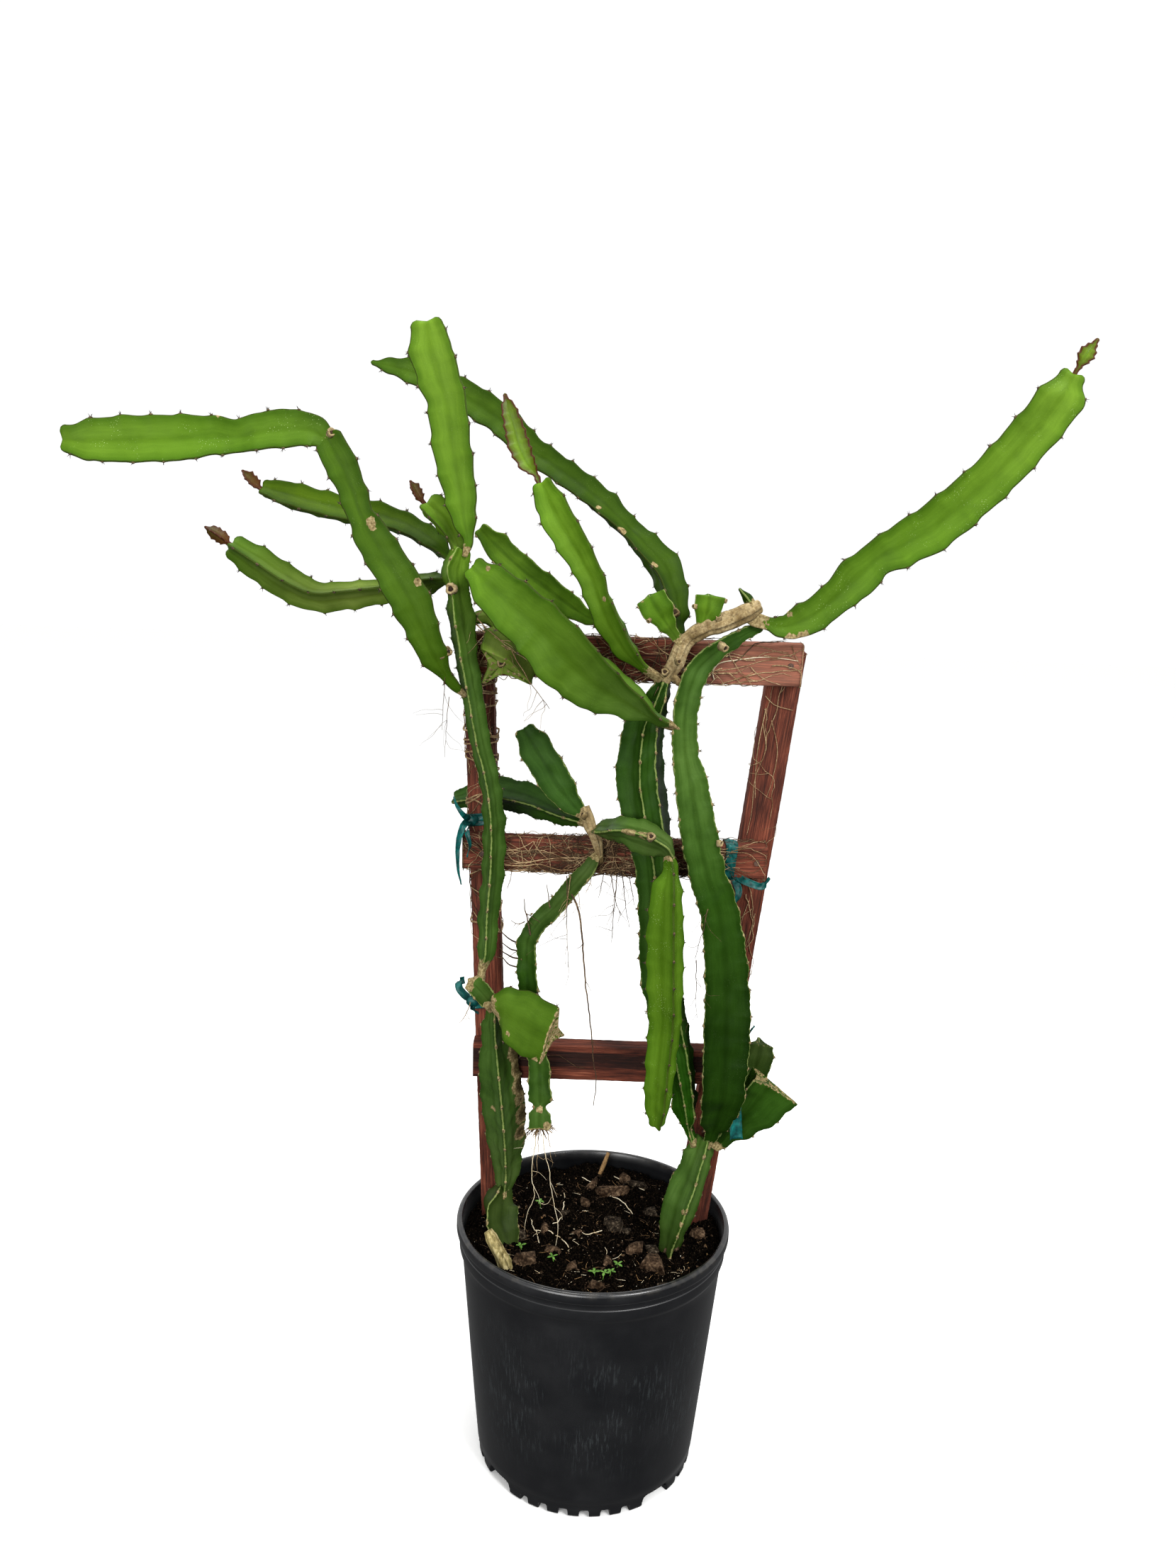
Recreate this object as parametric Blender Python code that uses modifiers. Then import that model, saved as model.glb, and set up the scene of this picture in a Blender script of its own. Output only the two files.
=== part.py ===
# Dragon fruit cactus (three-winged climbing cactus) on a redwood ladder trellis in a nursery pot.
# Metres, +Z up. The origin is the middle of the pot's flat underside, and the front faces -Y.

import math

import bmesh
import bpy
from mathutils import Matrix, Vector

MM = 0.001
GAP = 0.0003                # clearance between pieces that touch

# Pot: a three-gallon blow-moulded nursery pot
POT_HEIGHT = 0.259
RIM_RADIUS = 0.140
LIP_HEIGHT = 0.012
LIP_WIDTH = 0.006
BAND_HEIGHT = 0.019         # stepped band under the lip
BAND_RADIUS = RIM_RADIUS - 0.0035
BAND_STEP = 0.003
BASE_RADIUS = 0.1125
WALL = 0.002
FLOOR = 0.003
NOTCH_PITCH = 10.7          # degrees between the small drain notches
NOTCH_WIDTH = 0.010
NOTCH_HEIGHT = 0.009
ARCH_WIDTH = 0.035
ARCH_HEIGHT = 0.013
FOOT_BAND = ARCH_HEIGHT + 0.002
WALL_FOOT = BASE_RADIUS + 0.0015        # wall's outer radius at the top of the foot band
NOTCHES_IN_CLUSTER = 6
SOIL_LEVEL = 0.237
SOIL_BOTTOM = 0.0155

# Trellis: two splayed legs with three rungs nailed on their front faces
LEAN = 0.10                 # the trellis leans forward by this much per metre of height
PLANE_Y = 0.030             # legs' middle plane at soil level
LEG_FOOT = 0.155
LEG_TOP = 0.848
LEG_THICK = 0.018
RUNG_THICK = 0.018
LEG_LEFT = dict(x=-0.103, splay=-0.0394, width=0.028)
LEG_RIGHT = dict(x=0.104, splay=0.0884, width=0.032)
RUNGS = {
    "rung_top": dict(z=0.836, height=0.038, x0=-0.136, x1=0.168),
    "rung_middle": dict(z=0.648, height=0.032, x0=-0.138, x1=0.150),
    "rung_bottom": dict(z=0.431, height=0.037, x0=-0.126, x1=0.136),
}
NAIL_HEAD = 0.0028
NAIL_SHANK = 0.0012
NAIL_LENGTH = 0.028

# Ties: stretchy tape round a slat, knotted at its outer edge
TAPE_WIDTH = 0.009
TAPE_THICK = 0.001
TAPE_CLEAR = 0.0011         # tape's middle to the slat
KNOT_RADII = (0.007, 0.0045, 0.006)

# Stems. Each row of points is x, y, z and the reach of the wings, in millimetres.
# roll 0 turns a hollow between two wings to the front, roll 60 turns a wing there.
# cut_by names what a stem grows out of or rests against. woody is for old round wood.
STEP = 16.0                 # half the distance between two areoles along a wing
SCALLOP = 0.07              # how far the margin bulges between areoles, as a share of the reach
HOLLOW = 0.36               # depth left between two wings, as a share of the reach
NECK_REACH = 7.0            # below about this reach a stem is nearly round
NECK_FILL = 0.48            # how much of the hollow a round neck fills
MARGIN = 1.7                # half the thickness of a wing's edge
WOODY_HOLLOW = 0.86
SPINE_LENGTH = 3.4
SPINE_FOOT = 1.6
SPINED_REACH = 9.5          # wings narrower than this carry no spines
WAVED_REACH = 9.0
JOINT_CLEAR = 10.0          # no spine this near a joint
TIP_LENGTH = 0.28           # length and reach of a blunt tip, as shares of the last reach
TIP_REACH = 0.55
STEMS = {
    "stem_a0": dict(roll=40, cut_by=(), points=[
        (-84, -30, 214, 8), (-88, -24, 236, 14), (-97, -14, 256, 21), (-99, -6, 270, 22), (-95, 0, 282, 13)]),
    "stem_a1": dict(roll=75, roll_end=40, cut_by=("stem_a0",), points=[
        (-93, -2, 274, 5), (-91, 1, 301, 16), (-92, -8, 340, 23), (-94, -22, 378, 25),
        (-98, -36, 425, 23), (-103, -38, 469, 15), (-104, -43, 498, 8)]),
    "stem_a2": dict(roll=20, cut_by=("stem_a1",), cut_end=True, points=[
        (-105, -43, 495, 6), (-112, -48, 508, 10), (-126, -52, 525, 10)]),
    "stem_a3": dict(roll=45, roll_end=20, cut_by=("stem_a2", "stem_a1"), points=[
        (-118, -50, 518, 4), (-116, -50, 535, 4), (-112, -50, 556, 10), (-111, -50, 591, 11),
        (-108, -53, 636, 12), (-108, -57, 681, 12), (-113, -61, 722, 11), (-121, -67, 755, 11),
        (-128, -76, 798, 11), (-134, -86, 836, 12), (-139, -92, 873, 14), (-142, -94, 893, 11),
        (-144, -95, 910, 15), (-139, -95, 926, 10)]),
    "stem_a4": dict(roll=0, cut_by=("stem_a3",), points=[
        (-133, -79, 800, 3), (-147, -91, 816, 6), (-161, -104, 843, 15), (-178, -111, 885, 20),
        (-207, -114, 932, 18), (-219, -114, 952, 13), (-227, -114, 975, 14), (-237, -114, 996, 16),
        (-246, -114, 1012, 13)]),
    "stem_a5": dict(roll=5, cut_by=("stem_a4",), points=[
        (-244, -114, 1008, 8), (-257, -116, 1017, 15), (-280, -120, 1017, 18), (-301, -126, 1013, 17),
        (-314, -129, 1009, 15), (-334, -134, 1008, 18), (-362, -142, 1004, 21), (-397, -150, 1001, 21),
        (-425, -157, 999, 19), (-443, -162, 999, 12)]),
    "stem_b2": dict(roll=0, roll_end=10, cut_by=("stem_c1", "stem_a3"), points=[
        (56, -82, 778, 4), (37, -101, 788, 6), (13, -107, 805, 20), (-16, -109, 823, 31),
        (-43, -110, 845, 34), (-65, -110, 865, 30), (-88, -110, 882, 27), (-109, -110, 898, 22),
        (-124, -110, 911, 13)]),
    "stem_b3": dict(roll=0, cut_by=("stem_a3",), points=[
        (-134, -97, 921, 3), (-131, -98, 934, 5), (-134, -98, 950, 12), (-137, -98, 971, 16),
        (-144, -98, 1008, 19), (-150, -98, 1048, 19), (-157, -98, 1068, 21), (-163, -98, 1087, 21),
        (-167, -98, 1107, 16)]),
    "stem_b4": dict(roll=0, cut_by=("stem_a3", "stem_b3"), points=[
        (-141, -94, 917, 3), (-144, -86, 932, 7), (-156, -82, 953, 12), (-170, -80, 963, 10),
        (-176, -79, 969, 2), (-180, -79, 975, 5), (-183, -79, 981, 1.5)]),
    "stem_b5": dict(roll=10, cut_by=("stem_a3", "stem_b4"), points=[
        (-142, -93, 912, 3), (-150, -82, 920, 5), (-166, -64, 932, 12), (-194, -50, 946, 13),
        (-222, -42, 953, 15), (-250, -38, 957, 15), (-276, -36, 962, 15), (-301, -34, 968, 15),
        (-322, -34, 974, 10), (-329, -33, 976, 2), (-335, -33, 980, 5), (-340, -33, 986, 1.5)]),
    "stem_b6": dict(roll=15, roll_end=40, cut_by=("stem_a3", "stem_b5"), points=[
        (-142, -93, 902, 3), (-150, -84, 901, 4), (-171, -67, 898, 11), (-209, -51, 890, 13),
        (-248, -44, 884, 15), (-275, -44, 882, 16), (-299, -46, 892, 18), (-324, -48, 908, 18),
        (-346, -50, 922, 14), (-354, -50, 928, 2), (-362, -50, 933, 6), (-370, -50, 938, 1.5)]),
    "stem_b7": dict(roll=0, cut_by=("stem_f1",), points=[
        (-7, -73, 869, 4), (-15, -58, 869, 5), (-27, -46, 872, 8), (-42, -38, 880, 12), (-66, -33, 896, 14),
        (-90, -30, 913, 14), (-112, -28, 932, 14), (-127, -28, 946, 8)]),
    "stem_c0": dict(roll=60, cut_by=(), points=[
        (69, -50, 218, 8), (77, -42, 246, 13), (85, -34, 276, 19), (91, -27, 295, 21), (98, -22, 313, 19),
        (104, -18, 334, 17), (109, -15, 351, 15)]),
    "stem_c1": dict(roll=0, roll_end=15, cut_by=("stem_c0",), points=[
        (111, -17, 346, 5), (115, -20, 364, 8), (117, -30, 385, 18), (119, -46, 422, 24), (118, -50, 481, 26),
        (114, -53, 545, 24), (103, -60, 606, 21), (92, -64, 636, 20), (82, -68, 670, 20),
        (71, -72, 721, 18), (63, -77, 757, 14), (61, -80, 792, 13), (68, -81, 827, 13),
        (80, -82, 843, 11), (96, -81, 855, 9), (111, -77, 864, 7), (124, -74, 870, 5)]),
    "wood_w": dict(roll=0, woody=True, cut_by=("stem_g1", "stem_c1"), points=[
        (42, -80, 820, 7), (51, -85, 836, 9), (57, -88, 854, 9), (73, -91, 866, 10),
        (91, -89, 873, 10), (107, -85, 880, 9), (121, -79, 886, 7)]),
    "stem_d1": dict(roll=0, roll_end=-10, cut_by=("stem_c1", "wood_w"), points=[
        (120, -75, 871, 6), (134, -74, 871, 7), (148, -74, 872, 11), (167, -75, 880, 14), (187, -77, 898, 19),
        (203, -79, 914, 21), (221, -82, 932, 18), (244, -86, 946, 22), (266, -90, 961, 23),
        (305, -98, 999, 22), (339, -105, 1042, 22), (354, -108, 1065, 22), (362, -110, 1083, 13),
        (366, -110, 1089, 2), (372, -110, 1101, 8), (380, -110, 1113, 2)]),
    "stem_e1": dict(roll=0, cut_by=("wood_w", "stem_e2"), cut_end=True, points=[
        (56, -90, 852, 4), (46, -94, 864, 6), (40, -96, 872, 10), (32, -98, 883, 16), (26, -99, 893, 15)]),
    "stem_e2": dict(roll=20, roll_end=0, cut_by=("wood_w",), points=[
        (57, -86, 852, 4), (52, -78, 868, 6), (50, -72, 880, 13), (45, -65, 898, 16), (36, -56, 918, 18),
        (19, -46, 937, 15), (6, -38, 950, 12), (-20, -26, 973, 15), (-64, -8, 1004, 15),
        (-87, 0, 1019, 16), (-112, 6, 1043, 17), (-144, 10, 1063, 17), (-169, 10, 1076, 15),
        (-196, 8, 1086, 13), (-214, 6, 1090, 9), (-232, 4, 1093, 3)]),
    "stem_e3": dict(roll=0, cut_by=("wood_w",), cut_end=True, points=[
        (74, -90, 863, 4), (74, -91, 874, 8), (76, -93, 884, 13), (77, -94, 895, 15)]),
    "stem_e4": dict(roll=60, cut_by=("wood_w",), points=[
        (117, -81, 885, 6), (112, -82, 893, 5), (104, -83, 902, 1.5)]),
    "stem_f1": dict(roll=-10, cut_by=("wood_w", "stem_g1"), points=[
        (40, -81, 821, 5), (24, -82, 831, 5), (8, -82, 848, 12), (-6, -81, 870, 15), (-15, -80, 888, 14),
        (-22, -78, 907, 15), (-39, -77, 936, 17), (-50, -77, 952, 18), (-60, -77, 969, 17),
        (-69, -77, 985, 11)]),
    "stem_f2": dict(roll=0, cut_by=("stem_f1",), points=[
        (-72, -77, 981, 2), (-76, -77, 992, 3), (-84, -78, 1002, 9), (-91, -79, 1016, 11),
        (-95, -80, 1029, 10), (-100, -81, 1044, 8), (-104, -81, 1057, 2)]),
    "stem_g1": dict(roll=0, cut_by=("stem_c0",), points=[
        (99, -14, 346, 4), (93, -17, 364, 5), (87, -31, 399, 15), (76, -43, 449, 19), (63, -44, 502, 21),
        (54, -44, 543, 21), (50, -54, 588, 20), (44, -66, 648, 21), (33, -62, 702, 26),
        (28, -61, 732, 26), (29, -65, 775, 22), (38, -75, 804, 13), (42, -78, 818, 8)]),
    "stem_h1": dict(roll=60, cut_by=("stem_i1",), points=[
        (51, -103, 672, 4), (55, -104, 655, 8), (54, -105, 633, 17), (55, -105, 593, 20), (57, -103, 551, 20),
        (59, -100, 508, 18), (57, -97, 463, 17), (56, -95, 427, 15), (55, -94, 406, 9)]),
    "wood_k": dict(roll=0, woody=True, cut_by=("rung_middle",), points=[
        (-24, -45, 697, 6), (-19, -48, 682, 8), (-12, -48, 666, 8), (-7, -47, 646, 7)]),
    "stem_i1": dict(roll=45, cut_by=("wood_k",), points=[
        (-15, -49, 675, 5), (-4, -68, 680, 12), (14, -95, 685, 16), (32, -103, 682, 18), (47, -104, 675, 13),
        (54, -103, 667, 6)]),
    "stem_j1": dict(roll=0, cut_by=("wood_k",), points=[
        (-22, -46, 686, 4), (-36, -44, 700, 12), (-48, -43, 715, 17), (-59, -42, 732, 18),
        (-71, -40, 750, 18), (-81, -38, 765, 12)]),
    "stem_j2": dict(roll=20, cut_by=("wood_k", "stem_j1"), points=[
        (-21, -46, 680, 4), (-50, -26, 686, 13), (-79, -4, 692, 18), (-106, 16, 693, 19),
        (-130, 24, 690, 17), (-151, 29, 684, 11)]),
    "stem_l1": dict(roll=30, roll_end=0, cut_by=("wood_k",), cut_end=True, points=[
        (-8, -48, 653, 5), (-19, -52, 637, 9), (-33, -47, 618, 10), (-45, -43, 601, 10), (-62, -38, 582, 11),
        (-72, -36, 564, 11), (-73, -34, 544, 11), (-71, -34, 516, 12), (-67, -35, 480, 12),
        (-59, -36, 439, 12), (-57, -36, 400, 13), (-57, -36, 394, 10), (-57, -36, 388, 13),
        (-57, -36, 370, 12)]),
    "stem_m1": dict(roll=0, roll_end=-20, cut_by=("stem_a1", "stem_a2"), cut_end=True, points=[
        (-103, -46, 497, 5), (-90, -64, 503, 16), (-74, -76, 494, 24), (-62, -78, 477, 24),
        (-53, -78, 459, 16)]),
    "stem_n1": dict(roll=20, cut_by=("stem_c0", "stem_c1"), cut_end=True, points=[
        (118, -14, 345, 5), (128, -14, 359, 9), (138, -13, 373, 17), (151, -14, 391, 23),
        (164, -16, 409, 24)]),
    "stem_n2": dict(roll=0, cut_by=("stem_n1",), cut_end=True, points=[
        (148, -8, 386, 6), (155, 3, 408, 14), (160, 5, 438, 17), (162, 5, 450, 15)]),
    "stem_p1": dict(roll=60, cut_by=("stem_a3",), cut_end=True, points=[
        (-136, -86, 862, 4), (-122, -83, 853, 8), (-108, -79, 842, 15), (-94, -78, 822, 19)]),
    "cutting_dead": dict(roll=60, woody=True, cut_by=(), cut_end=True, points=[
        (-78, -70, 222, 5), (-86, -66, 240, 8), (-100, -58, 262, 7), (-104, -56, 268, 5)]),
}
# Aerial roots that hang free: points in millimetres, with the root's radius
ROOTS = {
    "root_long": dict(radius=1.1, cut_by=("stem_l1",), points=[
        (-33, -52, 614), (-26, -62, 604), (-22, -63, 580), (-20, -62, 550), (-14, -60, 510), (-9, -58, 470),
        (-5, -57, 435), (-5, -56, 405)]),
    "root_white_1": dict(radius=1.0, cut_by=("stem_l1",), points=[
        (-60, -36, 372), (-61, -34, 350), (-63, -30, 320), (-60, -24, 290), (-68, -16, 262),
        (-72, -12, 232)]),
    "root_white_2": dict(radius=1.0, cut_by=("stem_l1",), points=[
        (-54, -36, 372), (-52, -36, 350), (-45, -34, 320), (-42, -30, 290), (-36, -32, 262),
        (-38, -36, 232)]),
}

COLOURS = {
    "pot_black": (0.012, 0.013, 0.017, 0.45),
    "soil_brown": (0.025, 0.014, 0.009, 0.95),
    "redwood": (0.17, 0.04, 0.024, 0.80),
    "steel": (0.35, 0.34, 0.33, 0.45),
    "green_young": (0.13, 0.30, 0.022, 0.45),
    "green_old": (0.035, 0.13, 0.016, 0.50),
    "bark_tan": (0.28, 0.18, 0.09, 0.85),
    "root_pale": (0.45, 0.36, 0.24, 0.80),
    "tape_teal": (0.006, 0.15, 0.15, 0.40),
}
YOUNG = {"stem_a4", "stem_a5", "stem_b2", "stem_b3", "stem_b4", "stem_b5", "stem_b6", "stem_d1", "stem_f1",
         "stem_f2", "stem_h1", "stem_m1", "stem_p1", "stem_e2"}

for leftover in list(bpy.data.objects):
    bpy.data.objects.remove(leftover, do_unlink=True)

parts = bpy.data.collections.new("dragon_fruit_cactus")
cutters = bpy.data.collections.new("cutters")
bpy.context.scene.collection.children.link(parts)
bpy.context.scene.collection.children.link(cutters)


def finish(name):
    """A Principled material from the colour table."""
    if name in bpy.data.materials:
        return bpy.data.materials[name]
    red, green, blue, rough = COLOURS[name]
    material = bpy.data.materials.new(name)
    material.use_nodes = True
    shader = material.node_tree.nodes["Principled BSDF"]
    shader.inputs["Base Color"].default_value = (red, green, blue, 1.0)
    shader.inputs["Roughness"].default_value = rough
    shader.inputs["Metallic"].default_value = 1.0 if name == "steel" else 0.0
    return material


def add_object(name, bm, colour=None):
    """A bmesh as an object: a part where it has a colour, a cutter where it has none."""
    bmesh.ops.recalc_face_normals(bm, faces=bm.faces)
    mesh = bpy.data.meshes.new(name)
    bm.to_mesh(mesh)
    bm.free()
    obj = bpy.data.objects.new(name, mesh)
    if colour:
        parts.objects.link(obj)
        mesh.materials.append(finish(colour))
    else:
        cutters.objects.link(obj)
        obj.hide_render = True
        obj.display_type = "WIRE"
    return obj


def boolean(obj, other, operation="DIFFERENCE"):
    modifier = obj.modifiers.new(operation.lower() + "_" + other.name, "BOOLEAN")
    modifier.operation = operation
    modifier.object = other


def box_object(name, size, matrix, colour=None):
    bm = bmesh.new()
    bmesh.ops.create_cube(bm, size=1.0)
    bmesh.ops.scale(bm, vec=size, verts=bm.verts)
    bmesh.ops.transform(bm, matrix=matrix, verts=bm.verts)
    return add_object(name, bm, colour)


def smooth_rows(points, step):
    """Stations along a Catmull-Rom line through the points, the points themselves among them."""
    rows = [Vector(p[:3]) for p in points]
    reach = [p[3] for p in points]
    stations = []
    for i in range(len(rows) - 1):
        before = rows[i - 1] if i > 0 else rows[i] * 2 - rows[i + 1]
        after = rows[i + 2] if i + 2 < len(rows) else rows[i + 1] * 2 - rows[i]
        span = (rows[i + 1] - rows[i]).length
        count = max(1, round(span / step))
        slope0 = (rows[i + 1] - before) * (span / max((rows[i + 1] - rows[i]).length
                                                      + (rows[i] - before).length, 1e-6))
        slope1 = (after - rows[i]) * (span / max((rows[i + 1] - rows[i]).length
                                                 + (after - rows[i + 1]).length, 1e-6))
        for k in range(count):
            t = k / count
            place = ((2 * t**3 - 3 * t**2 + 1) * rows[i] + (t**3 - 2 * t**2 + t) * slope0
                     + (3 * t**2 - 2 * t**3) * rows[i + 1] + (t**3 - t**2) * slope1)
            ease = t * t * (3 - 2 * t)
            stations.append((place, reach[i] + (reach[i + 1] - reach[i]) * ease))
    stations.append((rows[-1], reach[-1]))
    return stations


def section_offsets(reach, roll, woody, grow):
    """Nine points round a three-winged section: (towards the front, to the side) in millimetres."""
    slim = math.exp(-(reach / NECK_REACH) ** 2)
    hollow = reach * (WOODY_HOLLOW if woody else HOLLOW + NECK_FILL * slim) + grow
    margin = reach * 0.45 if woody else min(MARGIN, reach * 0.35)
    points = []
    for wing in range(3):
        angle = math.radians(roll + 60 + 120 * wing)
        out = Vector((math.cos(angle), math.sin(angle)))
        along = Vector((-out.y, out.x))
        points.append((reach + grow) * out - (margin + grow) * along)
        points.append((reach + grow) * out + (margin + grow) * along)
        valley = angle + math.radians(60)
        points.append(hollow * Vector((math.cos(valley), math.sin(valley))))
    return points


def joints_on(name):
    """Where other stems grow out of this one, and where it starts itself."""
    places = [Vector(STEMS[name]["points"][0][:3])]
    places += [Vector(other["points"][0][:3]) for other in STEMS.values() if name in other["cut_by"]]
    return places


def stem_mesh(points, roll, roll_end=None, woody=False, cut_end=False, grow=0.0, bare=(), cut_by=()):
    """Loft a winged stem along its points. grow swells it to cut a seat in what grows from it.
    cut_by is read by the seats at the end. No spine stands within JOINT_CLEAR of the places in bare."""
    roll_end = roll if roll_end is None else roll_end
    stations = smooth_rows(points, STEP)
    last = len(stations) - 1
    if not cut_end and stations[last][1] > 4:
        end, reach = stations[last]
        back = (end - stations[last - 1][0]).normalized()
        stations.append((end + back * reach * TIP_LENGTH, reach * TIP_REACH))
    bm = bmesh.new()
    rings, tangents = [], []
    count = len(stations)
    for i, (centre, reach) in enumerate(stations):
        ahead = stations[min(i + 1, count - 1)][0]
        behind = stations[max(i - 1, 0)][0]
        tangent = (ahead - behind).normalized()
        front = Vector((0, -1, 0))
        front = (front - front.dot(tangent) * tangent).normalized()
        side = tangent.cross(front)
        flat = woody or i in (0, count - 1) or reach < WAVED_REACH
        wave = 0.0 if flat else SCALLOP * (1 if i % 2 else -1)
        turn = roll + (roll_end - roll) * i / max(count - 1, 1)
        offsets = section_offsets(reach * (1 + wave), turn, woody, grow)
        if grow and i == 0:
            centre = centre - tangent * grow
        if grow and i == count - 1:
            centre = centre + tangent * grow
        rings.append([bm.verts.new((centre + front * o.x + side * o.y) * MM) for o in offsets])
        tangents.append(tangent)
    armed = not woody and not grow
    extra = {}
    for i in range(1, count - 1):
        close = any((stations[i][0] - place).length < JOINT_CLEAR + stations[i][1] for place in bare)
        if not armed or i % 2 == 0 or stations[i][1] < SPINED_REACH or close:
            continue
        for wing in range(3):
            low, high = 3 * wing, 3 * wing + 1
            pair = []
            for j in (low, high):
                here, there = rings[i][j].co, rings[i + 1][j].co
                pair.append(bm.verts.new(here + (there - here).normalized() * SPINE_FOOT * MM))
                extra[i, j] = pair[-1]
            base = (rings[i][low].co + rings[i][high].co + pair[0].co + pair[1].co) / 4
            out = (base - stations[i][0] * MM).normalized()
            tip = bm.verts.new(base + (out * SPINE_LENGTH + tangents[i] * 0.6) * MM)
            ring = [rings[i][low], rings[i][high], pair[1], pair[0]]
            for k in range(4):
                bm.faces.new((ring[k], ring[(k + 1) % 4], tip))
    for i in range(count - 1):
        for j in range(9):
            n = (j + 1) % 9
            is_margin = j % 3 == 0
            start = [extra.get((i, j), rings[i][j]), extra.get((i, n), rings[i][n])]
            if is_margin:
                bm.faces.new((start[0], start[1], rings[i + 1][n], rings[i + 1][j]))
                continue
            loop = [rings[i][j], rings[i][n]]
            if (i, n) in extra:
                loop.append(extra[i, n])
            loop += [rings[i + 1][n], rings[i + 1][j]]
            if (i, j) in extra:
                loop.append(extra[i, j])
            bm.faces.new(loop)
    for ring, centre in ((rings[0], stations[0][0]), (rings[-1], stations[-1][0])):
        middle = bm.verts.new(sum((v.co for v in ring), Vector()) / 9)
        for j in range(9):
            bm.faces.new((ring[j], ring[(j + 1) % 9], middle))
    bmesh.ops.triangulate(bm, faces=bm.faces)
    return bm


def plane_y(z):
    """Middle plane of the legs."""
    return PLANE_Y - LEAN * (z - SOIL_LEVEL)


LEAN_TURN = Matrix.Rotation(math.atan(LEAN), 4, "X")


def leg_matrix(leg):
    middle = (LEG_FOOT + LEG_TOP) / 2
    x = leg["x"] + leg["splay"] * (middle - SOIL_LEVEL)
    turn = Matrix.Rotation(math.atan(leg["splay"]), 4, "Y")
    return Matrix.Translation((x, plane_y(middle), middle)) @ LEAN_TURN @ turn


def rung_matrix(rung):
    forward = (LEG_THICK + RUNG_THICK) / 2 + GAP
    turn = math.atan(LEAN)
    y = plane_y(rung["z"]) - forward / math.cos(turn)
    return Matrix.Translation(((rung["x0"] + rung["x1"]) / 2, y, rung["z"])) @ LEAN_TURN


def build_pot():
    """Turned wall, lip and floor, then the drain notches and arches round the foot."""
    top = POT_HEIGHT
    under_lip = top - LIP_HEIGHT
    under_band = under_lip - BAND_HEIGHT
    step = BAND_STEP
    outer = [
        (RIM_RADIUS - 0.0015, top), (RIM_RADIUS, top - 0.003), (RIM_RADIUS, under_lip + 0.002),
        (RIM_RADIUS - 0.002, under_lip), (BAND_RADIUS, under_lip), (BAND_RADIUS, under_band),
        (BAND_RADIUS - step, under_band - step), (WALL_FOOT, FOOT_BAND), (BASE_RADIUS, 0.003),
        (BASE_RADIUS - 0.003, 0.0), (0.0, 0.0)]
    inner = [
        (0.0, FLOOR), (BASE_RADIUS - 0.004, FLOOR), (BASE_RADIUS - WALL, 0.006),
        (WALL_FOOT - WALL, FOOT_BAND), (BAND_RADIUS - step - WALL, under_band - step),
        (BAND_RADIUS - WALL, under_band),
        (BAND_RADIUS - WALL, under_lip), (RIM_RADIUS - LIP_WIDTH, under_lip + 0.001),
        (RIM_RADIUS - LIP_WIDTH, top - 0.002), (RIM_RADIUS - LIP_WIDTH + 0.001, top)]
    mesh = bpy.data.meshes.new("pot")
    profile = outer + inner
    mesh.from_pydata([(r, 0.0, z) for r, z in profile],
                     [(i, i + 1) for i in range(len(profile) - 1) if i != len(outer) - 1]
                     + [(len(profile) - 1, 0)], [])
    obj = bpy.data.objects.new("pot", mesh)
    parts.objects.link(obj)
    mesh.materials.append(finish("pot_black"))
    screw = obj.modifiers.new("turn", "SCREW")
    screw.steps = screw.render_steps = 40
    screw.use_merge_vertices = True
    screw.merge_threshold = 0.0001
    bm = bmesh.new()
    for quarter in range(4):
        front = math.radians(-95 + 90 * quarter)
        spread = [(k - (NOTCHES_IN_CLUSTER - 1) / 2) * NOTCH_PITCH for k in range(NOTCHES_IN_CLUSTER)]
        for offset in spread:
            add_notch(bm, front + math.radians(offset), NOTCH_WIDTH, NOTCH_HEIGHT)
        add_notch(bm, front + math.radians(45), ARCH_WIDTH, ARCH_HEIGHT, slope=0.006)
    boolean(obj, add_object("cut_notches", bm))
    return obj


def add_notch(bm, angle, width, height, slope=0.0015):
    """A wedge through the foot of the wall, narrower at its top."""
    inside, outside = BASE_RADIUS - 0.012, BASE_RADIUS + 0.01
    corners = []
    for radius in (inside, outside):
        for half, z in ((width / 2, -0.01), (width / 2, height * 0.45), (width / 2 - slope, height),
                        (-width / 2 + slope, height), (-width / 2, height * 0.45), (-width / 2, -0.01)):
            corners.append(bm.verts.new((radius * math.cos(angle) - half * math.sin(angle),
                                         radius * math.sin(angle) + half * math.cos(angle), z)))
    count = 6
    bm.faces.new(corners[:count])
    bm.faces.new(corners[count:][::-1])
    for k in range(count):
        n = (k + 1) % count
        bm.faces.new((corners[k], corners[k + count], corners[n + count], corners[n]))


# Bark chips that stand a little proud: x, y, half width and rise, in metres
CHIPS = (
    (0.022, 0.055, 0.020, 0.009), (0.016, -0.030, 0.014, 0.008), (0.052, -0.075, 0.013, 0.008),
    (-0.055, -0.085, 0.014, 0.006), (-0.050, 0.005, 0.011, 0.004), (0.045, 0.075, 0.016, 0.007))


def soil_height(x, y):
    """Uneven top of the potting mix, a little higher along the wall, with a few bark chips proud of it."""
    radius = math.hypot(x, y)
    height = 0.0022 * math.sin(x * 61 + 1.3) * math.cos(y * 53 - 0.4) + 0.0014 * math.sin(x * 143 + y * 117)
    height += 0.004 * (radius / 0.13) ** 4
    for chip_x, chip_y, size, rise in CHIPS:
        away = ((x - chip_x) ** 2 + (y - chip_y) ** 2) / (size * size)
        height += rise * math.exp(-away ** 2)
    return SOIL_LEVEL + height


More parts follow.
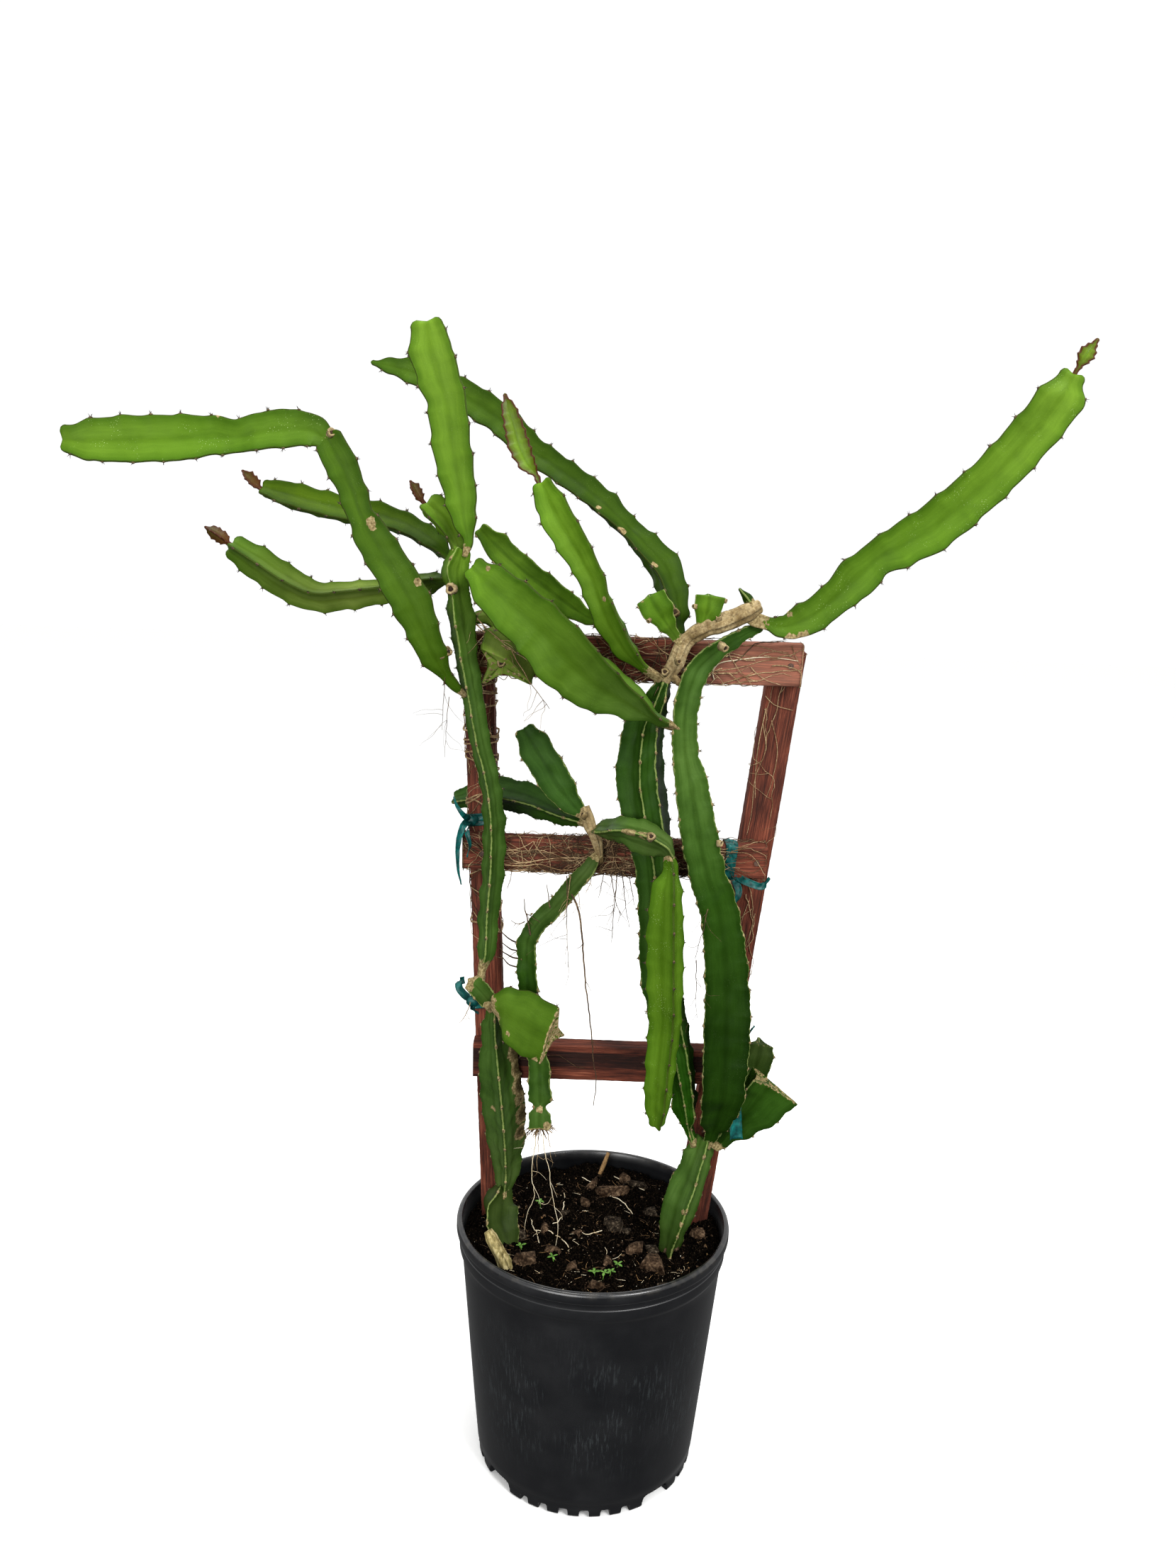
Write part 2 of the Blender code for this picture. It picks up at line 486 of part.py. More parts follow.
def build_soil():
    """The potting mix fills the pot up to the soil line, and follows the wall's taper."""
    wall_foot = WALL_FOOT - WALL - GAP * 2
    wall_top = BAND_RADIUS - BAND_STEP - WALL - GAP * 2
    high = POT_HEIGHT - LIP_HEIGHT - BAND_HEIGHT - BAND_STEP
    around = 30
    inward = 5
    bm = bmesh.new()
    rings = []
    for radius, z in ((wall_foot, SOIL_BOTTOM), (wall_top, high), (wall_top + 0.0008, SOIL_LEVEL)):
        rings.append([(radius, z)] * around)
    for k in range(inward):
        rings.append([(wall_top * (1 - (k + 0.4) / (inward + 0.4)), None)] * around)
    layers = []
    for index, ring in enumerate(rings):
        layer = []
        for j, (radius, z) in enumerate(ring):
            angle = 2 * math.pi * (j + 0.5 * (index % 2)) / around
            x, y = radius * math.cos(angle), radius * math.sin(angle)
            layer.append(bm.verts.new((x, y, soil_height(x, y) if z is None else z)))
        layers.append(layer)
    for index in range(len(layers) - 1):
        for j in range(around):
            n = (j + 1) % around
            a, b = layers[index], layers[index + 1]
            if index % 2 == 0:
                bm.faces.new((a[j], a[n], b[j]))
                bm.faces.new((a[n], b[n], b[j]))
            else:
                bm.faces.new((a[j], a[n], b[n]))
                bm.faces.new((a[j], b[n], b[j]))
    peak = bm.verts.new((0, 0, soil_height(0, 0)))
    base = bm.verts.new((0, 0, SOIL_BOTTOM))
    for j in range(around):
        n = (j + 1) % around
        bm.faces.new((layers[-1][j], layers[-1][n], peak))
        bm.faces.new((layers[0][n], layers[0][j], base))
    return add_object("soil", bm, "soil_brown")


def build_trellis():
    """Two legs and three rungs, each a sawn slat with eased edges, and a nail at each crossing."""
    slats = {}
    for name, leg in (("leg_left", LEG_LEFT), ("leg_right", LEG_RIGHT)):
        length = (LEG_TOP - LEG_FOOT) * math.hypot(1, LEAN, leg["splay"])
        matrix = leg_matrix(leg)
        slats[name] = box_object(name, (leg["width"], LEG_THICK, length), matrix, "redwood")
        swell = Vector((leg["width"] + 2 * GAP, LEG_THICK + 2 * GAP, length + 2 * GAP))
        box_object("cut_" + name, swell, matrix)
    for name, rung in RUNGS.items():
        matrix = rung_matrix(rung)
        size = Vector((rung["x1"] - rung["x0"], RUNG_THICK, rung["height"]))
        slats[name] = box_object(name, size, matrix, "redwood")
        box_object("cut_" + name, size + Vector((2 * GAP, 2 * GAP, 2 * GAP)), matrix)
    for rung_name, rung in RUNGS.items():
        for leg_name, leg in (("leg_left", LEG_LEFT), ("leg_right", LEG_RIGHT)):
            add_nail(rung_name, rung, leg_name, leg, slats)


def nail_mesh(grow=0.0):
    """A wire nail along +Y, its head's underside at y = 0."""
    bm = bmesh.new()
    profile = [(0, -0.001 - grow), (NAIL_HEAD + grow, -0.001 - grow), (NAIL_HEAD + grow, 0.0),
               (NAIL_SHANK + grow, 0.0), (NAIL_SHANK + grow, NAIL_LENGTH - 0.003), (0, NAIL_LENGTH + grow)]
    sides = 8
    rings = []
    for radius, y in profile[1:-1]:
        rings.append([bm.verts.new((radius * math.cos(2 * math.pi * k / sides), y,
                                    radius * math.sin(2 * math.pi * k / sides))) for k in range(sides)])
    for low, high in zip(rings, rings[1:]):
        for k in range(sides):
            n = (k + 1) % sides
            bm.faces.new((low[k], low[n], high[n], high[k]))
    for ring, y in ((rings[0], profile[0][1]), (rings[-1], profile[-1][1])):
        middle = bm.verts.new((0, y, 0))
        for k in range(sides):
            bm.faces.new((ring[k], ring[(k + 1) % sides], middle))
    return bm


def add_nail(rung_name, rung, leg_name, leg, slats):
    """A nail through the rung into the leg, in its own holes."""
    x = leg["x"] + leg["splay"] * (rung["z"] - SOIL_LEVEL)
    centre = rung_matrix(rung)
    face = Matrix.Translation((x - centre.translation.x, -RUNG_THICK / 2 - GAP, 0))
    name = "nail_" + rung_name[5:] + leg_name[3:]
    bm = nail_mesh()
    bmesh.ops.transform(bm, matrix=centre @ face, verts=bm.verts)
    add_object(name, bm, "steel")
    bm = nail_mesh(GAP)
    bmesh.ops.transform(bm, matrix=centre @ face, verts=bm.verts)
    hole = add_object("cut_" + name, bm)
    boolean(slats[rung_name], hole)
    boolean(slats[leg_name], hole)


def band_mesh(path, across, width, thick, closed):
    """A flat tape along a path. across gives the direction of its width."""
    bm = bmesh.new()
    rings = []
    count = len(path)
    for i, place in enumerate(path):
        ahead = path[(i + 1) % count] if closed or i < count - 1 else place
        behind = path[i - 1] if closed or i > 0 else place
        tangent = (Vector(ahead) - Vector(behind)).normalized()
        wide = Vector(across) - Vector(across).dot(tangent) * tangent
        wide.normalize()
        thin = tangent.cross(wide)
        rings.append([bm.verts.new(Vector(place) + wide * (width / 2) * a + thin * (thick / 2) * b)
                      for a, b in ((-1, -1), (1, -1), (1, 1), (-1, 1))])
    for i in range(count if closed else count - 1):
        a, b = rings[i], rings[(i + 1) % count]
        for k in range(4):
            n = (k + 1) % 4
            bm.faces.new((a[k], a[n], b[n], b[k]))
    if not closed:
        bm.faces.new(rings[0][::-1])
        bm.faces.new(rings[-1])
    return bm


def box_loop(half_x, half_y, corner=0.0012):
    """A rounded rectangle in the XY plane, as tape pulled round a slat."""
    path = []
    for sx, sy, start in ((1, 1, 0), (-1, 1, 90), (-1, -1, 180), (1, -1, 270)):
        for turn in (5, 85):
            angle = math.radians(start + turn)
            path.append((sx * (half_x - corner) + corner * math.cos(angle),
                         sy * (half_y - corner) + corner * math.sin(angle), 0))
    return path


def build_tie(name, matrix, half_x, half_y, knot, tails):
    """A loop of tape round a slat, with a knot and two loose tails fused to it."""
    loop = [matrix @ Vector(p) for p in box_loop(half_x + TAPE_CLEAR, half_y + TAPE_CLEAR)]
    across = matrix.to_3x3() @ Vector((0, 0, 1))
    tie = add_object(name, band_mesh(loop, across, TAPE_WIDTH, TAPE_THICK, True), "tape_teal")
    lump = bmesh.new()
    bmesh.ops.create_icosphere(lump, subdivisions=1, radius=1.0)
    bmesh.ops.scale(lump, vec=KNOT_RADII, verts=lump.verts)
    knot = matrix @ Vector(knot)
    bmesh.ops.translate(lump, vec=knot, verts=lump.verts)
    boolean(tie, add_object("join_" + name + "_knot", lump), "UNION")
    for index, tail in enumerate(tails):
        path = [knot + Vector((0, 0.0007, 0.0013)) * (1 - 2 * index)] + [Vector(p) * MM for p in tail]
        across = (0.6, 0.2, 0.5) if index else (0.7, 0.3, -0.4)
        strip = band_mesh(path, across, TAPE_WIDTH, TAPE_THICK * 0.9, False)
        boolean(tie, add_object("join_%s_tail%d" % (name, index), strip), "UNION")
    return tie


def slat_place(leg, z):
    """Frame on a leg's middle line at height z."""
    x = leg["x"] + leg["splay"] * (z - SOIL_LEVEL)
    turn = Matrix.Rotation(math.atan(leg["splay"]), 4, "Y")
    return Matrix.Translation((x, plane_y(z), z)) @ LEAN_TURN @ turn


def build_ties():
    half = LEG_THICK / 2
    build_tie("tie_left_middle", slat_place(LEG_LEFT, 0.676), LEG_LEFT["width"] / 2, half,
              knot=(-0.011, -0.014, 0.0),
              tails=[[(-137, -45, 674), (-141, -47, 658), (-141, -45, 634), (-138, -43, 617)],
                     [(-137, -42, 684), (-143, -45, 693), (-146, -46, 702)]])
    rung = RUNGS["rung_middle"]
    around = Matrix.Translation((0.1165, rung_matrix(rung).translation.y, rung["z"])) @ LEAN_TURN \
        @ Matrix.Rotation(math.radians(90), 4, "Y")
    build_tie("tie_right_middle", around, rung["height"] / 2, RUNG_THICK / 2,
              knot=(0.015, -0.0142, 0.003),
              tails=[[(137, -44, 628), (147, -42, 626), (153, -42, 634)],
                     [(124, -46, 620), (118, -48, 608), (115, -48, 602)]])
    build_tie("tie_left_low", slat_place(LEG_LEFT, 0.508), LEG_LEFT["width"] / 2, half,
              knot=(-0.011, -0.014, 0.0),
              tails=[[(-134, -23, 513), (-137, -30, 520), (-137, -34, 528)],
                     [(-132, -25, 504), (-136, -31, 497), (-131, -37, 490)]])
    build_tie("tie_right_low", slat_place(LEG_RIGHT, 0.458), LEG_RIGHT["width"] / 2, half,
              knot=(0.013, -0.014, 0.0),
              tails=[[(142, -24, 462), (147, -44, 450), (149, -54, 420), (148, -50, 362)],
                     [(146, -16, 468), (152, -16, 476)]])


def root_mesh(points, radius, cut_by=()):
    """A thin root as a tube along a curve through its points, welded into a mesh."""
    curve = bpy.data.curves.new("root", "CURVE")
    curve.dimensions = "3D"
    curve.bevel_depth = radius * MM
    curve.bevel_resolution = 0
    curve.use_fill_caps = True
    spline = curve.splines.new("POLY")
    stations = smooth_rows([tuple(p) + (radius,) for p in points], 12.0)
    spline.points.add(len(stations) - 1)
    for point, (place, _) in zip(spline.points, stations):
        point.co = (*(place * MM), 1.0)
    obj = bpy.data.objects.new("root", curve)
    cutters.objects.link(obj)
    mesh = bpy.data.meshes.new_from_object(obj.evaluated_get(bpy.context.evaluated_depsgraph_get()))
    bpy.data.objects.remove(obj, do_unlink=True)
    bm = bmesh.new()
    bm.from_mesh(mesh)
    bmesh.ops.remove_doubles(bm, verts=bm.verts, dist=0.00001)
    return bm


pot = build_pot()
soil = build_soil()
build_trellis()
build_ties()

stems = {}
for name, design in STEMS.items():
    shade = "bark_tan" if design.get("woody") else "green_young" if name in YOUNG else "green_old"
    stems[name] = add_object(name, stem_mesh(**design, bare=joints_on(name)), shade)
seats = {parent for design in list(STEMS.values()) + list(ROOTS.values()) for parent in design["cut_by"]}
for parent in sorted(seats & set(STEMS)):
    add_object("cut_" + parent, stem_mesh(**STEMS[parent], grow=GAP / MM))
for name, design in STEMS.items():
    for parent in design["cut_by"]:
        boolean(stems[name], bpy.data.objects["cut_" + parent])

for name, design in ROOTS.items():
    root = add_object(name, root_mesh(**design), "root_pale")
    for parent in design["cut_by"]:
        boolean(root, bpy.data.objects["cut_" + parent])

add_object("cut_cutting_dead", stem_mesh(**STEMS["cutting_dead"], grow=GAP / MM))
for name in ("stem_a0", "stem_c0", "cutting_dead"):
    boolean(soil, bpy.data.objects["cut_" + name])
for name in ("leg_left", "leg_right"):
    boolean(soil, bpy.data.objects["cut_" + name])
for name in ("root_white_1", "root_white_2"):
    design = dict(ROOTS[name], radius=ROOTS[name]["radius"] + GAP / MM)
    boolean(soil, add_object("cut_" + name, root_mesh(**design)))
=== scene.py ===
# Potted dragon fruit cactus on a redwood ladder trellis.
# Metres, +Z up, the front faces -Y. Sizes in the tables are millimetres where they say so.

import math

import bmesh
import bpy
import numpy as np
from mathutils import Matrix, Vector


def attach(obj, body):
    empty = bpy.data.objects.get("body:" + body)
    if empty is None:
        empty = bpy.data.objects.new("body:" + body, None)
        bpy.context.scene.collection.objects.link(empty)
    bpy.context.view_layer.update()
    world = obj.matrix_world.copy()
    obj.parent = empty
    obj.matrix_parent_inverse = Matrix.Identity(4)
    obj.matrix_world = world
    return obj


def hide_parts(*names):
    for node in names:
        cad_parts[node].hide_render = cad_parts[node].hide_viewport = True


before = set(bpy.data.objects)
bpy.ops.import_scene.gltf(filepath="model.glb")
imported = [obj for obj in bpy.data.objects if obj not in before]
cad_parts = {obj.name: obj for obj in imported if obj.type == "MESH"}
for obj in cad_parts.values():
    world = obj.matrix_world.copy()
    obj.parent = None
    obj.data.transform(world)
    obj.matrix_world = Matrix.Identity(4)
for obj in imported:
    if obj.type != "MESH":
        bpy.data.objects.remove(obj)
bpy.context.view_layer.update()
# a millimetre in metres, and a metre in millimetres
mm = 0.001
metre = 1000
# the range that random directions are drawn from
anyTurn = (0, 6.28)


def linear(hexColour):
    # sRGB hex to the linear values that a shader wants
    channels = [int(hexColour[i:i + 2], 16) / 255 for i in (1, 3, 5)]
    return tuple(c / 12.92 if c <= 0.04045 else ((c + 0.055) / 1.055) ** 2.4 for c in channels) + (1.0,)


def setInputs(node, inputs):
    # each input is a number, a hex colour, or the node or socket to link
    for key, source in inputs.items():
        named = [s for s in node.inputs if s.enabled and s.name == key]
        socket = node.inputs[key] if isinstance(key, int) else named[0]
        if isinstance(source, bpy.types.Node):
            source = next(s for s in source.outputs if s.enabled)
        if isinstance(source, bpy.types.NodeSocket):
            node.id_data.links.new(source, socket)
        else:
            socket.default_value = linear(source) if isinstance(source, str) else source


def addNode(tree, kind, inputs=None, stops=(), **settings):
    # one shader node with its inputs, its settings and, on a ramp, its colour stops
    made = tree.nodes.new("ShaderNode" + kind)
    for key, value in settings.items():
        setattr(made, key, value)
    setInputs(made, inputs or {})
    for index, (position, colour) in enumerate(stops):
        if index > 1:
            made.color_ramp.elements.new(position)
        made.color_ramp.elements[index].position = position
        made.color_ramp.elements[index].color = linear(colour)
    return made


def meshValue(tree, name, output="Vector"):
    return addNode(tree, "Attribute", attribute_name=name).outputs[output]


def addNoise(tree, place, size, detail, roughness=0.5):
    # noise with grains of about this size in mm; over stretched values it is given as a metre
    return addNode(tree, "TexNoise", {
        "Vector": place, "Scale": 1 / (size * mm), "Detail": detail, "Roughness": roughness})


def stretched(tree, place, scale):
    return addNode(tree, "Mapping", {"Vector": place, "Scale": scale})


def ramp(tree, source, stops):
    return addNode(tree, "ValToRGB", {"Fac": source}, stops)


def rising(tree, source, low, high, start=0.0, end=1.0, curve="LINEAR"):
    # goes from start to end while the source goes from low to high
    return addNode(tree, "MapRange", {0: source, 1: low, 2: high, 3: start, 4: end}, interpolation_type=curve)


def easing(tree, source, low, high, start=0.0, end=1.0):
    return rising(tree, source, low, high, start, end, "SMOOTHSTEP")


def calculate(tree, operation, *terms):
    return addNode(tree, "Math", dict(enumerate(terms)), operation=operation)


def layer(tree, under, over, factor, kind="MIX"):
    # one colour over another, by a number or a link
    return addNode(tree, "Mix", {"A": under, "B": over, "Factor": factor}, data_type="RGBA", blend_type=kind)


def addBump(tree, height, strength, relief):
    return addNode(tree, "Bump", {"Height": height, "Strength": strength, "Distance": relief})


def newFinish(name, roughness, ior=1.5, specular=0.5):
    material = bpy.data.materials.new(name)
    material.use_nodes = True
    shader = material.node_tree.nodes["Principled BSDF"]
    setInputs(shader, {"Roughness": roughness, "IOR": ior, "Specular IOR Level": specular})
    return material, material.node_tree, shader


# The photograph's viewpoint

photoView = dict(place=(-0.0216, -1.1218, 0.9109), lookingDown=10.14, roll=2.11, lens=27.05, sensor=36.0)


def setCamera(view):
    data = bpy.data.cameras.new("camera")
    data.lens = view["lens"]
    data.sensor_width = view["sensor"]
    data.clip_start = 0.01
    down, roll = math.radians(view["lookingDown"]), math.radians(view["roll"])
    right = Vector((1, 0, 0))
    up = Vector((0, math.sin(down), math.cos(down)))
    back = Vector((0, -math.cos(down), math.sin(down)))
    sideways = right * math.cos(roll) + up * math.sin(roll)
    upright = up * math.cos(roll) - right * math.sin(roll)
    camera = bpy.data.objects.new("camera", data)
    turn = Matrix((sideways, upright, back)).transposed().to_4x4()
    camera.matrix_world = Matrix.Translation(view["place"]) @ turn
    bpy.context.scene.collection.objects.link(camera)
    bpy.context.scene.camera = camera


setCamera(photoView)

# Plain studio: a pale floor, a surround that is white overhead and dim underfoot, and three soft boxes.
# The floor is lit but sends neither light nor a mirror image back to the plant.

studio = dict(
    floor="#fbfbfa", above="#ffffff", below="#636363", surroundStrength=1.04,
    boxes=(
        dict(name="key_box", place=(1.5, -2.0, 2.4), size=1.1, power=84),
        dict(name="front_box", place=(-0.9, -2.3, 0.75), size=1.4, power=44),
        dict(name="top_box", place=(-0.3, -0.2, 2.8), size=1.2, power=30)))


def setStudio(look):
    world = bpy.data.worlds.new("white_surround")
    world.use_nodes = True
    # white overhead and dim underfoot, so that faces turned down are shaded
    tree = world.node_tree
    upward = addNode(tree, "SeparateXYZ", {0: addNode(tree, "TexCoord").outputs["Generated"]})
    sky = rising(tree, upward.outputs[2], -0.20, -0.08)
    sky = ramp(tree, sky, ((0.0, look["below"]), (1.0, look["above"])))
    setInputs(tree.nodes["Background"], {"Strength": look["surroundStrength"], "Color": sky})
    bpy.context.scene.world = world
    for box in look["boxes"]:
        light = bpy.data.lights.new(box["name"], "AREA")
        light.size = box["size"]
        light.energy = box["power"]
        lamp = bpy.data.objects.new(box["name"], light)
        lamp.location = box["place"]
        aim = Vector((0.0, 0.0, 0.6)) - Vector(box["place"])
        lamp.rotation_euler = aim.to_track_quat("-Z", "Y").to_euler()
        bpy.context.scene.collection.objects.link(lamp)
    mesh = bpy.data.meshes.new("floor")
    reach = 14.0
    mesh.from_pydata([(-reach, -reach, 0), (reach, -reach, 0), (reach, reach, 0), (-reach, reach, 0)], [],
                     [(0, 1, 2, 3)])
    floor = bpy.data.objects.new("floor", mesh)
    material, _, shader = newFinish("matt white painted floor", 0.9, 1.45, 0.2)
    setInputs(shader, {"Base Color": look["floor"]})
    mesh.materials.append(material)
    floor.visible_diffuse = False
    floor.visible_glossy = False
    bpy.context.scene.collection.objects.link(floor)
    bpy.context.scene.view_settings.view_transform = "Standard"


setStudio(studio)
print("camera and studio set")


# Helpers for shapes

class Shape:
    # points and faces gathered for one piece, with the values that its finishes read

    def __init__(self):
        self.points, self.faces, self.finish, self.values, self.count = [], [], [], {}, 0

    def add(self, points, faces, finish=0, **values):
        points = np.asarray(points, float).reshape(-1, 3)
        self.points.append(points)
        self.faces += [tuple(int(i) + self.count for i in face) for face in faces]
        self.finish += [finish] * len(faces)
        for key, value in values.items():
            self.values.setdefault(key, []).append((self.count, np.broadcast_to(value, (len(points), 3))))
        self.count += len(points)

    def piece(self, name, finishes, slot, stands=(), crease=None):
        mesh = bpy.data.meshes.new(name)
        mesh.from_pydata((np.concatenate(self.points) * mm).tolist(), [], self.faces)
        for finish in finishes:
            mesh.materials.append(finish)
        mesh.polygons.foreach_set("material_index", self.finish)
        for key, parts in self.values.items():
            filled = np.zeros((self.count, 3))
            for start, value in parts:
                filled[start:start + len(value)] = value
            layer = mesh.attributes.new(key, "FLOAT_VECTOR", "POINT")
            layer.data.foreach_set("vector", filled.ravel())
        bm = bmesh.new()
        bm.from_mesh(mesh)
        bmesh.ops.recalc_face_normals(bm, faces=bm.faces)
        bm.to_mesh(mesh)
        bm.free()
        mesh.shade_smooth()
        if crease:
            mesh.set_sharp_from_angle(angle=math.radians(crease))
        made = bpy.data.objects.new(name, mesh)
        bpy.context.scene.collection.objects.link(made)
        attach(made, "root")
        if stands:
            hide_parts(*stands)
        return made


def between(low, high, value):
    # 0 below low, 1 above high, and a soft step between them; the other way round if low is above high
    t = np.clip((np.asarray(value, float) - low) / (high - low), 0, 1)
    return t * t * (3 - 2 * t)


def wobble(points, size, seed):
    # smooth unevenness between about -1 and 1, with bumps of about that size, from nine crossing waves
    draw = np.random.default_rng(seed)
    total = 0
    for _ in range(9):
        direction = draw.normal(size=3)
        direction /= np.linalg.norm(direction)
        total = total + np.sin(points @ direction * (2 * math.pi / size * draw.uniform(0.6, 1.5))
                               + draw.uniform(*anyTurn))
    return total / 3.0


def smoothLine(rows, step):
    # a smooth line through the rows; columns after x, y and z ease from row to row
    rows = np.array(rows, float)
    line = []
    for i in range(len(rows) - 1):
        here, there = rows[i, :3], rows[i + 1, :3]
        before = rows[i - 1, :3] if i else 2 * here - there
        after = rows[i + 2, :3] if i + 2 < len(rows) else 2 * there - here
        span = np.linalg.norm(there - here)
        slopeIn = (there - before) * span / max(span + np.linalg.norm(here - before), 1e-6)
        slopeOut = (after - here) * span / max(span + np.linalg.norm(after - there), 1e-6)
        count = max(1, round(span / step))
        t = (np.arange(count) / count)[:, None]
        place = ((2 * t**3 - 3 * t**2 + 1) * here + (t**3 - 2 * t**2 + t) * slopeIn
                 + (3 * t**2 - 2 * t**3) * there + (t**3 - t**2) * slopeOut)
        ease = t * t * (3 - 2 * t)
        rest = rows[i, 3:] + (rows[i + 1, 3:] - rows[i, 3:]) * ease
        line.append(np.hstack([place, rest]))
    line.append(rows[-1:])
    return np.vstack(line)


def unit(vectors):
    return vectors / np.maximum(np.linalg.norm(vectors, axis=-1, keepdims=True), 1e-9)


def framesAlong(place, lean=(0.0, -1.0, 0.0)):
    # tangent, front and side at each point of a line; front is kept near the given direction
    tangent = unit(np.gradient(place, axis=0))
    lean = np.array(lean)
    front = unit(lean - (tangent @ lean)[:, None] * tangent)
    return tangent, front, np.cross(tangent, front)


def bridge(ring, other, around):
    # four-sided faces between two rings of points
    a, b = ring * around, other * around
    return [(a + j, a + (j + 1) % around, b + (j + 1) % around, b + j) for j in range(around)]


def loft(rings, around, capped=False):
    # faces between neighbouring rings and, if capped, one over each end
    faces = [face for i in range(rings - 1) for face in bridge(i, i + 1, around)]
    return faces + [footFace(around), tuple(range((rings - 1) * around, rings * around))] if capped else faces


def footFace(around):
    return tuple(range(around))[::-1]


def fan(ring, around, middle, turned=False):
    # three-sided faces from a ring to a middle point
    sides = [(ring * around + k, ring * around + (k + 1) % around) for k in range(around)]
    return [(b, a, middle) if turned else (a, b, middle) for a, b in sides]


def levelRing(radius, z, turn):
    return np.stack([radius * np.cos(turn), radius * np.sin(turn), np.full(len(turn), z)], axis=1)


def evenTurns(count):
    return np.arange(count) * 2 * math.pi / count


def addTube(shape, rows, sides=6, step=3.0, finish=0):
    # a tapering tube through rows of x, y, z and radius, closed at both ends
    line = smoothLine(rows, step)
    place, radius = line[:, :3], line[:, 3]
    _, front, side = framesAlong(place, (0.31, -0.9, 0.27))
    turn = evenTurns(sides)
    ring = np.cos(turn)[None, :, None] * front[:, None] + np.sin(turn)[None, :, None] * side[:, None]
    shape.add(place[:, None] + ring * radius[:, None, None], loft(len(place), sides, capped=True), finish)


# Finishes

def greenSkin(name, look):
    # One builder for the stems' skin. It reads three values off the mesh: skin is the distance from the
    # wing's edge, the way along the stem (both mm) and the nearness to the valley; growth is cork laid by
    # place, cork along the edge, and pale flecks; tint is the stem's green, with painted light and shade in
    # it on some stems.
    material, tree, shader = newFinish(name, look["roughness"], 1.42, look["specular"])
    place = addNode(tree, "TexCoord").outputs["Object"]
    skin = meshValue(tree, "skin")
    fromEdge, _, valley = addNode(tree, "SeparateXYZ", {0: skin}).outputs
    laidCork, edgeCork, flecks = addNode(tree, "SeparateXYZ", {0: meshValue(tree, "growth")}).outputs

    # broad lighter and darker areas, about 28 mm across
    broad = ramp(tree, addNoise(tree, place, 28, 3.0), look["broad"])
    colour = layer(tree, meshValue(tree, "tint", "Color"), broad, 1.0, "MULTIPLY")
    # soft streaks along the stem, 2 to 4 mm wide
    streak = addNoise(tree, stretched(tree, skin, (0.42, 0.035, 3.0)), metre, 3.0, 0.6)
    colour = layer(tree, colour, ramp(tree, streak, look["streak"]), 0.45, "MULTIPLY")
    # deeper green towards the wing's edge, where the skin is older
    colour = layer(tree, colour, look["outer"], easing(tree, fromEdge, 0.5, 8.0, 0.8, 0.0), "MULTIPLY")
    # painted shade: the look's valley colour darkens the skin towards the hollows between the wings
    colour = layer(tree, colour, look["valley"], easing(tree, valley, 0.72, 1.0, 0.0, 0.55), "MULTIPLY")
    # white wax flecks, drawn 0.4 mm across so that they show
    cells = addNode(tree, "TexVoronoi", {"Vector": place, "Scale": metre / 1.7, "Randomness": 1.0})
    dots = easing(tree, cells.outputs["Distance"], 0.05, 0.25, 0.75, 0.0)
    dots = calculate(tree, "MULTIPLY", dots, easing(tree, addNoise(tree, place, 16, 3.0), 0.52, 0.66))
    dots = calculate(tree, "MULTIPLY", dots, flecks)
    colour = layer(tree, colour, look["fleck"], dots)
    # a thin horny line along the wing's edge, its width uneven
    rag = addNoise(tree, place, 3.5, 3.0)
    reach = calculate(tree, "MULTIPLY_ADD", rag, look["lineRag"], look["lineShift"])
    reach = calculate(tree, "ADD", fromEdge, reach)
    line = easing(tree, reach, look["lineWidth"] * 0.55, look["lineWidth"], look["lineStrength"], 0.0)
    colour = layer(tree, colour, look["line"], line)
    # cork: laid at necks, scars and cuts, and in a toothed strip along old edges
    strip = calculate(tree, "ADD", calculate(tree, "MULTIPLY_ADD", edgeCork, -1.7, fromEdge),
                      calculate(tree, "MULTIPLY_ADD", rag, 2.4, -0.8))
    laid = calculate(tree, "ADD", calculate(tree, "MULTIPLY_ADD", rag, 1.5, -0.75), laidCork)
    strip, laid = easing(tree, strip, -0.5, 0.1, 1.0, 0.0), easing(tree, laid, 0.42, 0.58)
    cork = calculate(tree, "MAXIMUM", strip, laid)
    grain = addNoise(tree, place, 2.2, 4.0)
    # cork laid above 1 is dead tissue, darker and browner
    dead = rising(tree, laidCork, 1.1, 1.7)
    corkColour = layer(tree, ramp(tree, grain, look["cork"]), look["dead"], dead, "MULTIPLY")
    # waxy on green and dull on cork, with a texture of about 1 mm that is coarser on cork
    lift = calculate(tree, "MULTIPLY", grain, cork)
    lift = calculate(tree, "MULTIPLY_ADD", lift, 1.6, addNoise(tree, place, 1.6, 3.0))
    setInputs(shader, {
        "Base Color": layer(tree, colour, corkColour, cork),
        "Roughness": rising(tree, cork, 0.0, 1.0, look["roughness"], 0.85),
        "Normal": addBump(tree, calculate(tree, "ADD", lift, dots), look["bump"], 0.0004)})
    return material


deadTissue = "#6c6a56"
youngCork = ((0.30, "#544630"), (0.50, "#80704c"), (0.72, "#a39470"))
# Young cactus skin, grown and waxy: a soft sheen, thin dark edge line
youngSkin = greenSkin("young cactus skin waxy", dict(
    roughness=0.44, specular=0.05, bump=0.30, line="#2c3410", lineWidth=0.95, lineStrength=0.7, lineRag=1.2,
    lineShift=-0.5, fleck="#bdd28a", outer="#b9cb9a", valley="#d2d99a", cork=youngCork, dead=deadTissue,
    broad=((0.30, "#d6dcc8"), (0.52, "#f4f6ee"), (0.72, "#ffffff")),
    streak=((0.34, "#dbe2cf"), (0.62, "#ffffff"))))
